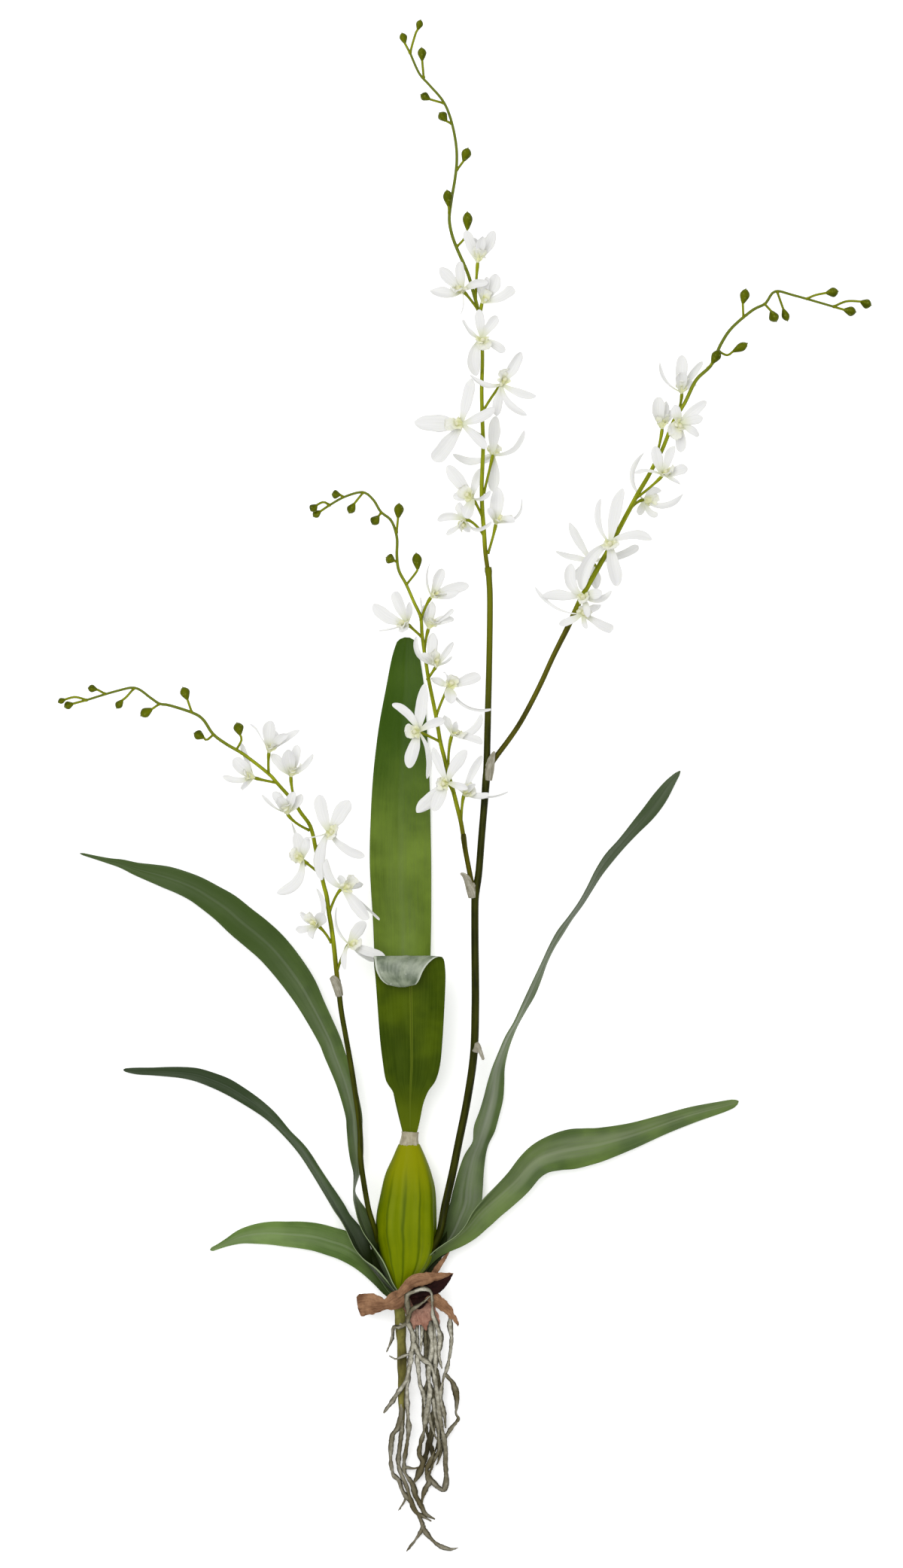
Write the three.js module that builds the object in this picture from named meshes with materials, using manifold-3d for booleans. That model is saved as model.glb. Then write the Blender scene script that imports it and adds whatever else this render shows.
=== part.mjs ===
// A bare-root orchid plant, lying on a flat surface with its flowers to +Y. A ribbed pseudobulb carries two
// leaves on its crown, and five narrower leaves stand out of its foot. Two flower stems end in four sprays
// of narrow-petalled white blooms and round green buds. Dry bracts and gnarled roots hang from the foot.
// Millimetres, +Z up. The origin is the middle of the flat spot under the bulb, so the surface is Z = 0.

import * as THREE from "three";
import { mergeVertices } from "three/addons/utils/BufferGeometryUtils.js";
import Module from "manifold-3d";

const wasm = await Module();
wasm.setup();

// Driving dimensions.
const GAP = 0.3; // left between two pieces that touch
const LEAF_THICKNESS = 1.2;
const BRACT_THICKNESS = 0.9;
const TEPAL_THICKNESS = 1.2; // at the midline, thinning to the edges
const TEPAL_WIDTH = 9.5; // of a middling bloom
const TEPAL_ARCH = 1.5; // how far a tepal's middle stands out of its chord, towards the bloom's face
const HEART_RADIUS = 2.6; // the small knob that a bloom's tepals spring from
const TEPAL_ROOT = 1.3; // how far from the heart's middle a tepal starts
const LIP_WIDTH = 6;
const PEDICEL_RADIUS = 0.9;
const BUD_STALK_RADIUS = 0.8;
const BULB_DEPTH_SHARE = 0.78; // the pseudobulb is flatter than it is wide
const BULB_AXIS_HEIGHT = 14.5;
const RIB_COUNT = 11;
const RIB_RISE = 0.035; // share of the radius

// How many sides the round pieces have.
const COLLAR_SIDES = 12;
const RHIZOME_SIDES = 8;
const SCAPE_SIDES = 6;
const SHEATH_SIDES = 6;
const BUD_SIDES = 5;
const RACHIS_SIDES = 4;
const ROOT_SIDES = 4;
const PEDICEL_SIDES = 3;

const WHITE = { color: 0xf4f4f0, roughness: 0.6 };
const SPRAY_GREEN = { color: 0x8c9a1a, roughness: 0.45 };
const STEM_OLIVE = { color: 0x4b4b0a, roughness: 0.45 };
const LEAF_GREEN = { color: 0x3e5f22, roughness: 0.4 };
const BULB_GREEN = { color: 0x7f8c05, roughness: 0.4 };
const DRY_BEIGE = { color: 0xa59c84, roughness: 0.75 };
const DRY_BROWN = { color: 0x8a6448, roughness: 0.8 };
const ROOT_GREY = { color: 0x857b66, roughness: 0.85 };

const plant = new THREE.Group();

// Vectors and solids.

const vector = (point) => new THREE.Vector3(point[0], point[1], point[2]);

function towards(from, direction, distance) {
  return from.clone().addScaledVector(direction, distance);
}

function toSolid(geometry) {
  const bare = geometry.clone();
  bare.deleteAttribute("normal");
  bare.deleteAttribute("uv");
  const merged = mergeVertices(bare, 1e-4);
  return new wasm.Manifold(
    new wasm.Mesh({
      numProp: 3,
      vertProperties: new Float32Array(merged.attributes.position.array),
      triVerts: new Uint32Array(merged.index.array),
    }),
  );
}

// Keeps the largest piece of a cut solid, because a loose scrap isn't part of the plant.
function largestPiece(solid) {
  return solid.decompose().reduce((best, piece) => (piece.volume() > best.volume() ? piece : best));
}

function join(solids) {
  return solids.reduce((whole, solid) => whole.add(solid));
}

function addNode(name, solid, finish) {
  const piece = largestPiece(solid).getMesh();
  const geometry = new THREE.BufferGeometry();
  geometry.setAttribute("position", new THREE.BufferAttribute(new Float32Array(piece.vertProperties), 3));
  geometry.setIndex(new THREE.BufferAttribute(new Uint32Array(piece.triVerts), 1));
  geometry.computeVertexNormals();
  const mesh = new THREE.Mesh(geometry, new THREE.MeshStandardMaterial({ ...finish, metalness: 0 }));
  mesh.name = name;
  plant.add(mesh);
}

// A closed surface from its points and its triangles, turned so that its faces point outwards.
function closedGeometry(points, faces) {
  let volume = 0;
  for (const [a, b, c] of faces) {
    volume += points[a].dot(new THREE.Vector3().crossVectors(points[b], points[c]));
  }
  const outward = volume > 0 ? faces : faces.map(([a, b, c]) => [a, c, b]);
  const geometry = new THREE.BufferGeometry().setFromPoints(points);
  geometry.setIndex(outward.flat());
  return geometry;
}

// A solid through a row of rings. A ring of one point is a tip. Each four-sided face is split from its odd
// corner, so that the two faces of a thin tepal are split alike.
function loft(rings) {
  const points = rings.flat();
  const faces = [];
  let start = 0;
  for (let i = 0; i + 1 < rings.length; i += 1) {
    const [here, next] = [rings[i].length, rings[i + 1].length];
    const far = start + here;
    for (let k = 0; k < Math.max(here, next); k += 1) {
      const after = (k + 1) % Math.max(here, next);
      if (here === 1) {
        faces.push([start, far + after, far + k]);
      } else if (next === 1) {
        faces.push([start + k, start + after, far]);
      } else if (k % 2 === 1) {
        faces.push([start + k, start + after, far + after], [start + k, far + after, far + k]);
      } else {
        faces.push([start + k, start + after, far + k], [start + after, far + after, far + k]);
      }
    }
    start = far;
  }
  const last = rings[rings.length - 1].length;
  for (let k = 2; k < rings[0].length; k += 1) {
    faces.push([1, (k + 1) % rings[0].length, k]);
  }
  for (let k = 2; k < last; k += 1) {
    faces.push([start + 1, start + k, start + ((k + 1) % last)]);
  }
  return closedGeometry(points, faces);
}

// Side vectors across a route, carried from one point to the next without a twist. The first is level.
function sidesAlong(route) {
  const sides = [];
  const tangents = route.map((point, i) => {
    const before = route[Math.max(i - 1, 0)];
    const after = route[Math.min(i + 1, route.length - 1)];
    return new THREE.Vector3().subVectors(after, before).normalize();
  });
  let side = new THREE.Vector3().crossVectors(tangents[0], new THREE.Vector3(0, 0, 1));
  if (side.length() < 0.2) {
    side.set(1, 0, 0);
  }
  for (const tangent of tangents) {
    side = towards(side, tangent, -side.dot(tangent)).normalize();
    sides.push({ tangent, side, up: new THREE.Vector3().crossVectors(side, tangent) });
  }
  return sides;
}

// A round stalk along a route, with a radius for each point of it. A radius of 0 is a tip.
function stalk(route, radii, sideCount) {
  const frames = sidesAlong(route);
  const rings = route.map((point, i) => {
    const radius = Array.isArray(radii) ? radii[i] : radii;
    if (radius === 0) {
      return [point];
    }
    return Array.from({ length: sideCount }, (_, k) => {
      const angle = (2 * Math.PI * (k + 0.5)) / sideCount;
      const across = towards(point, frames[i].side, radius * Math.cos(angle));
      return towards(across, frames[i].up, radius * Math.sin(angle));
    });
  });
  return loft(rings);
}

// A radius for each point, from one end's to the other's.
function taper(count, first, last) {
  return Array.from({ length: count }, (_, i) => first + ((last - first) * i) / (count - 1));
}

// A leaf blade of even thickness. Each row is x, y, z, width, roll in degrees and the height of the edges
// over the midrib. Both faces are split alike, so a waved blade keeps its thickness.
function blade(rows, thickness) {
  const route = rows.map(vector);
  const frames = sidesAlong(route);
  const points = [];
  rows.forEach(([, , , width, roll = 0, trough = 0], i) => {
    const { tangent, side, up } = frames[i];
    const turned = side.clone().applyAxisAngle(tangent, THREE.MathUtils.degToRad(roll));
    const normal = up.clone().applyAxisAngle(tangent, THREE.MathUtils.degToRad(roll));
    for (const face of [0.5, -0.5]) {
      for (const edge of [-0.5, 0, 0.5]) {
        const across = towards(route[i], turned, edge * width);
        points.push(towards(across, normal, trough * Math.abs(edge) * 2 + face * thickness));
      }
    }
  });
  const faces = [];
  const quad = (a, b, c, d) => faces.push([a, b, c], [a, c, d]);
  for (let i = 0; i + 1 < rows.length; i += 1) {
    const [a, b] = [6 * i, 6 * (i + 1)];
    quad(a + 1, a, b, b + 1);
    quad(a + 1, b + 1, b + 2, a + 2);
    quad(a + 4, b + 4, b + 3, a + 3);
    quad(a + 4, a + 5, b + 5, b + 4);
    quad(a, a + 3, b + 3, b);
    quad(a + 2, b + 2, b + 5, a + 5);
  }
  const end = 6 * (rows.length - 1);
  quad(0, 1, 4, 3);
  quad(1, 2, 5, 4);
  quad(end, end + 3, end + 4, end + 1);
  quad(end + 1, end + 4, end + 5, end + 2);
  return closedGeometry(points, faces);
}

// The foot: pseudobulb with its rhizome, and the collar on its crown.

// Stations along the pseudobulb: y, middle x and half width.
const BULB_STATIONS = [
  [-48, -4, 3.5],
  [-40, -1.75, 9.25],
  [-30, -0.25, 15.25],
  [-20, 0.25, 18.25],
  [-10, -0.25, 19.75],
  [2, -0.25, 19.75],
  [18, 1, 18],
  [30, 1.25, 15.25],
  [40, 1.75, 11.25],
  [50, 1.75, 6.75],
];
const RHIZOME_ROUTE = [
  [-3.5, -44, 13.5], [-4.5, -56, 12.5], [-4, -68, 11], [-3, -90, 9], [-3, -112, 8], [-3, -137, 8.5],
];
const RHIZOME_RADII = [3.4, 4.3, 3.6, 3, 2.7, 2];
const COLLAR_STATIONS = [[50 + GAP, 6.9], [54, 6.2], [58.5, 6]];
const COLLAR_X = 2;

function ribbedRing(y, middle, halfWidth, grow) {
  return Array.from({ length: 2 * RIB_COUNT }, (_, k) => {
    const angle = (Math.PI * k) / RIB_COUNT;
    const radius = halfWidth * (1 + (k % 2 ? RIB_RISE : -RIB_RISE)) + grow;
    const x = middle + radius * Math.cos(angle);
    return new THREE.Vector3(x, y, BULB_AXIS_HEIGHT + BULB_DEPTH_SHARE * radius * Math.sin(angle));
  });
}

function bulb(grow) {
  const rings = BULB_STATIONS.map(([y, middle, halfWidth]) => ribbedRing(y, middle, halfWidth, grow));
  rings[0].forEach((point) => point.setY(point.y - grow));
  const body = toSolid(loft(rings));
  const rhizomeRadii = RHIZOME_RADII.map((radius) => radius + grow);
  const rhizome = stalk(RHIZOME_ROUTE.map(vector), rhizomeRadii, RHIZOME_SIDES);
  const floor = toSolid(new THREE.BoxGeometry(100, 300, 20).translate(0, 0, -10));
  return body.add(toSolid(rhizome)).subtract(floor);
}

function collar() {
  const rings = COLLAR_STATIONS.map(([y, radius]) =>
    Array.from({ length: COLLAR_SIDES }, (_, k) => {
      const angle = (2 * Math.PI * k) / COLLAR_SIDES;
      const height = BULB_AXIS_HEIGHT + BULB_DEPTH_SHARE * radius * Math.sin(angle);
      return new THREE.Vector3(COLLAR_X + radius * Math.cos(angle), y, height);
    }),
  );
  return toSolid(loft(rings));
}

// Leaves. Each row is x, y, z, width, roll and the height of the edges over the midrib.

const LEAVES = {
  leaf_front: [
    [2.5, 58.8, 17.5, 11.5, 0, 1.5], [2.5, 70, 19, 14, 0, 2], [2.8, 80, 21, 18.5, 0, 2.5],
    [3, 88, 23, 26, 0, 3], [3, 94, 24.5, 34.5, 0, 3.5], [3, 110, 28, 39, 0, 4],
    [3.5, 125, 31.5, 41, 0, 4], [4, 140, 35.5, 43, 0, 4], [3.5, 155, 40, 44.5, 0, 3.5],
    [2.5, 167, 44.5, 45.5, 0, 2.5], [-0.5, 173, 48, 42, 0, 1], [-2, 174.5, 52, 40, 0, 0],
    [-3, 171, 55, 36, 0, -0.5], [-3.5, 164, 56, 27, 0, -1], [-4, 158, 55.5, 13, 0, -0.5],
  ],
  leaf_back: [
    [2, 58.8, 11.5, 10, 0, 1], [1, 80, 10.5, 18, 0, 3], [0, 110, 8.5, 27, 0, 4.5], [-1, 140, 6.5, 33, 0, 5],
    [-2.5, 170, 4.5, 37, 0, 5], [-3, 200, 3, 39, 0, 4.5], [-4, 235, 1.6, 41, 0, 4],
    [-4, 265, 0.9, 40, 0, 3.5],
    [-3.5, 295, 0.7, 37.5, 0, 3], [-2.5, 325, 0.7, 32.5, 0, 2.5], [-1, 350, 0.7, 26.5, 0, 2],
    [-0.5, 370, 0.7, 20, 0, 1.5], [0, 380, 0.7, 15.5, 0, 1], [0.5, 387, 0.7, 9, 0, 0.5],
  ],
  leaf_left_upper: [
    [-11, -42, 21, 4, 30, 1], [-16, -31, 20, 9, 40, 2.5], [-21.5, -18, 19, 12, 50, 2.5],
    [-27, -4, 17.5, 12, 62, 2],
    [-31.5, 9, 16, 12, 74, 1], [-34, 25, 14.5, 12, 80, 0], [-35, 40, 13.5, 12.5, 48, 0.5],
    [-36, 58, 12.5, 14, 25, 1.5], [-39, 78, 12, 15, 10, 2.5], [-44, 99, 11.5, 16, 0, 3],
    [-52, 121, 10.5, 18, 0, 3],
    [-63, 146, 9.5, 22, 0, 3.5], [-77, 165, 8.5, 24, 0, 3.5], [-97, 188, 7, 24.5, 0, 3.5],
    [-120, 206, 5.5, 22.5, 0, 3], [-142, 219.5, 4, 18, 0, 2], [-165, 228, 2.5, 13, 0, 1.2],
    [-190, 234.5, 1.2, 7, 0, 0.5], [-216, 243, 0.7, 2.5, 0, 0],
  ],
  leaf_left_middle: [
    [-8, -52, 13.7, 5, 20, 0.5], [-15, -47, 13.5, 5, 20, 0.5], [-21, -36, 13, 9, 30, 1.5],
    [-29, -22, 12, 11, 35, 2],
    [-37, -9, 11, 11.5, 35, 2],
    [-46, 6, 9.5, 10.5, 30, 2], [-55, 24, 8, 8, 20, 1.5], [-66, 40, 6.5, 7, 0, 1.2],
    [-81, 57, 5, 8, 0, 1.2],
    [-100, 74, 3.8, 9.5, 0, 1.5], [-121, 87, 2.6, 10, 0, 1.5], [-140, 94, 1.6, 8.5, 0, 1],
    [-165, 96.8, 0.9, 6.5, 0, 0.6], [-188, 98.6, 0.7, 2.5, 0, 0],
  ],
  leaf_left_lower: [
    [-5, -57, 8.5, 6, 0, 0.5], [-13, -50, 6.5, 9, 0, 1], [-22, -36, 6, 14, 0, 2.5],
    [-35, -24, 5.2, 18, 0, 3.5],
    [-50, -16.5, 4, 20, 0, 4],
    [-65, -12, 2.8, 18.5, 0, 3.5], [-80, -10.5, 1.8, 16, 0, 3], [-97, -10, 1.1, 14.5, 0, 2.5],
    [-110, -12.5, 0.7, 11, 0, 1.5], [-121, -16, 0.7, 6, 0, 0.6], [-131, -21, 0.7, 2.5, 0, 0],
  ],
  leaf_right_upper: [
    [14, -32, 9.5, 8, 0, 1.5], [25, -15, 9.5, 17, 0, 3], [32.5, 0, 10, 20, 0, 3.5],
    [39, 17, 10.5, 20, 0, 3],
    [45, 35, 11, 18, -10, 2.5], [50, 52, 11.5, 16, -20, 2], [55, 67, 12, 16, -30, 1.5],
    [59, 85, 12.5, 15, -40, 1],
    [62.5, 103, 13, 14, -52, 0.5], [68, 121, 13, 13, -55, 0.3], [75, 138, 12.5, 12.5, -60, 0.3],
    [84, 155, 12, 12.5, -60, 0.3], [94, 175, 11, 12, -55, 0.3], [104, 194, 9.5, 11.5, -60, 0.3],
    [116, 213, 8, 11, -65, 0.5], [128, 231, 6.5, 10, -50, 0.5], [143, 250, 4.5, 8.5, -30, 0.5],
    [162, 272, 2.5, 8, -10, 0.5], [172, 285, 1.3, 7, 0, 0.3], [182, 298, 0.7, 2.5, 0, 0],
  ],
  leaf_right_lower: [
    [9, -40, 15.5, 5, -20, 1], [18, -29, 16, 9, -20, 2], [29, -19, 16.5, 14, -15, 3],
    [43, -6, 16, 16, -10, 3.5],
    [58, 8, 14.5, 17, 0, 3.5], [74, 22, 12.5, 19, 0, 3.5], [88, 35, 10.5, 22, 0, 3.5],
    [104, 43.5, 8.5, 25, 0, 3.5],
    [121, 47.5, 6.8, 24, 0, 3], [140, 51, 5.2, 19, 0, 2.5], [160, 58, 3.6, 15, 0, 2],
    [180, 66, 2.2, 12, 0, 1.2],
    [203, 72.5, 1.1, 7, 0, 0.5], [220, 77, 0.7, 2.5, 0, 0],
  ],
};

// Dry bracts round the foot, in the same rows as the leaves.
const BRACTS = {
  bract_left: [
    [-3, -52, 24, 9, 0, -1], [-10, -55, 22, 11, 0, -1.5], [-18, -56, 20, 13, 0, -2],
    [-25, -57, 18.5, 15, 0, -1],
    [-31, -58, 18, 12, 0, 1],
  ],
  bract_right: [
    [0, -47.5, 26.5, 5, 0, -1], [6, -41, 29, 9, 0, -1.5], [14, -37.5, 29.5, 12, 0, -2],
    [23, -38, 28, 10, 0, -1],
    [31, -36.5, 27, 2.5, 0, 0],
  ],
  bract_lower: [
    [1, -54, 9.5, 14, 0, -1], [10, -63, 6, 19, 0, -2], [15, -70, 4.5, 18, 0, -1.5],
    [18, -77, 3, 10, 0, -0.5],
  ],
};

// Aerial roots. Each is its radius and its points. Every root starts on another one, so they are one body.
const ROOTS = [
  [1.9, [0.5, -70, 21.5], [0.5, -56, 25], [4, -50, 27.5], [11, -48.5, 27.5], [15, -52, 26.5], [18, -60, 24],
    [22, -73, 19], [23.5, -100, 13]],
  [1.5, [0.5, -64, 23], [7, -59, 25.5], [15, -53, 26.5]],
  [1.9, [0.5, -69, 21.5], [5, -76, 19.5], [4, -85, 18.5], [-1.5, -112.5, 14.5], [-5, -117, 13],
  [-15.5, -130, 8]],
  [2, [4.5, -82, 18.5], [10, -92.5, 16], [16, -100, 14], [21.5, -125, 10], [26, -152.5, 6],
  [26, -167.5, 4.5],
    [27, -177.5, 3.5], [24, -181.5, 3], [18.5, -177.5, 3], [13.5, -169, 4], [20, -149, 6]],
  [2, [21, -69, 20], [17, -90, 15], [15.5, -110, 12.5], [15, -125, 10], [9.5, -155, 6], [9, -162.5, 5],
    [3.5, -180, 3]],
  [2, [16, -102, 13.5], [20, -125, 9.5], [21, -140, 7], [20, -153, 5.5]],
  [1.9, [3.5, -88, 18], [1, -115, 12.8], [1.5, -142.5, 9], [-1, -155, 6], [-1, -165, 4.5], [7.5, -190, 2.6],
    [17, -202.5, 1.9]],
  [1.9, [-3, -136.5, 8.5], [-9, -145, 7], [-10.5, -157.5, 5], [-9, -170, 3.5], [1, -187.5, 2.8],
    [11.5, -207.5, 2.2], [21, -219, 1.9], [34.5, -220.5, 1.9]],
  [1.7, [1, -136, 10.5], [-5, -152.5, 6], [-4.5, -165, 4], [5, -187.5, 2.6], [19, -201, 1.8]],
  [1.3, [1, -187, 2.8], [-6, -195, 1.6]],
  [1.8, [26, -152, 6], [18.5, -175, 3.5], [11.5, -192.5, 2.8], [11, -202.5, 2.4], [0, -221.5, 1.8]],
  [1.9, [16, -54, 26], [27.5, -62.5, 21], [30.5, -80, 15.5], [28.5, -95, 12.5], [20, -115, 11]],
  [1.8, [26, -104, 11], [33, -122.5, 8], [34, -132.5, 6.5], [21, -152.5, 5], [14, -157, 5]],
  [1.6, [5.5, -78, 19], [8, -95, 15], [11.5, -124, 9.5]],
  [1.3, [-1, -166, 4.3], [8.5, -166.5, 4.3]],
  [1.3, [1.5, -70, 21.5], [-4, -72, 18.5], [-10.5, -82.5, 12], [-13.5, -89.5, 9]],
  [1.4, [2.5, -90, 17.8], [-6.5, -93, 14.5], [-11.5, -92.5, 12.5]],
];

function roots() {
  return join(ROOTS.map(([radius, ...route]) => toSolid(stalk(route.map(vector), radius, ROOT_SIDES))));
}

// Stems.

const MAIN_SCAPE = [
  [22.5, -7.5, 20.5], [25.5, 10, 19.5], [30.5, 30, 20.5], [34.5, 50, 22.5], [40.5, 80, 26],
  [44.75, 110, 29],
  [45.75, 140, 31], [45.75, 160, 32], [45.5, 185, 32], [45.5, 210, 32], [46, 218, 32], [48, 230, 32],
  [50, 255, 32], [51.5, 273, 32], [53, 295, 32], [54, 330, 32], [55, 370, 32.5], [55.5, 410, 33],
  [54.6, 429.6, 33],
];
const MAIN_SCAPE_RADII = [
  3, 3, 3.1, 3.1, 3.1, 3.1, 3.1, 3, 2.9, 2.8, 2.9, 2.7, 2.6, 2.6, 2.8, 2.5, 2.3, 2.2, 2,
];
const MIDDLE_BRANCH = [[46, 212, 32], [44, 220, 33.5], [41.5, 233, 36], [39.2, 245, 38.5], [38, 253.6, 40]];
const RIGHT_BRANCH = [
  [53, 292, 32], [55.5, 301, 33], [60, 308, 33], [67.5, 318, 33], [75, 329, 33], [82.5, 342.5, 33],
  [90, 357.5, 33], [97.5, 374, 33], [107.3, 393.6, 33],
];
const LEFT_SCAPE = [
  [-17.5, -22, 23], [-20.5, -10, 24], [-23.5, 0, 24], [-26, 10, 24], [-28.5, 25, 24], [-30.5, 40, 24.5],
  [-31, 60, 25], [-33.5, 80, 26], [-36.5, 100, 27.5], [-40, 120, 29], [-43.5, 140, 30.5], [-45.3, 157, 31],
];
const BRANCH_RADIUS = 1.9;

function mainScape(grow) {
  const trunk = stalk(MAIN_SCAPE.map(vector), MAIN_SCAPE_RADII.map((radius) => radius + grow), SCAPE_SIDES);
  const radius = BRANCH_RADIUS + grow;
  const middle = stalk(MIDDLE_BRANCH.map(vector), radius, SCAPE_SIDES);
  const right = stalk(RIGHT_BRANCH.map(vector), radius, SCAPE_SIDES);
  return join([trunk, middle, right].map(toSolid));
}

function leftScape(grow) {
  return toSolid(stalk(LEFT_SCAPE.map(vector), BRANCH_RADIUS + grow, SCAPE_SIDES));
}

// The thin dry sheaths at the stems' nodes, as points along each one's outer side and the radii there.
const SHEATHS = {
  sheath_left: {
    route: [[-44.3, 149.5, 32], [-46.3, 155.5, 33], [-49.5, 161, 34]],
    radii: [2.5, 3, 1.2],
  },
  sheath_middle: {
    route: [[44.3, 214.5, 34], [42.6, 220, 35], [40, 226, 36], [36.8, 229.8, 36.5]],
    radii: [2.9, 3, 2.2, 0.8],
  },
  sheath_right: {
    route: [[54.6, 293, 34.3], [55.8, 302, 35.5], [57.8, 310, 36.5]],
    radii: [3.1, 3.4, 1.5],
  },
  sheath_main: {
    route: [[46.3, 108.5, 30.5], [47.4, 113.5, 31.2], [48.6, 118, 31.8]],
    radii: [2.6, 2.8, 1.2],
  },
};

// Sprays. A spray is the axis of its rachis, the rachis's radius at both ends, its buds and its blooms.
// A bud is its radius and its stalk's points, the last two of which are the bud's own base and tip.
// A bloom is where it sits, where its pedicel leaves the rachis, the way it faces, its lip's tip, and its
// five tepals' tips, measured from where it sits. A tepal may add its turn in degrees about its own length,
// and how far its middle bows to its left, seen from above. Where it sits may add its tepals' width.

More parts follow.
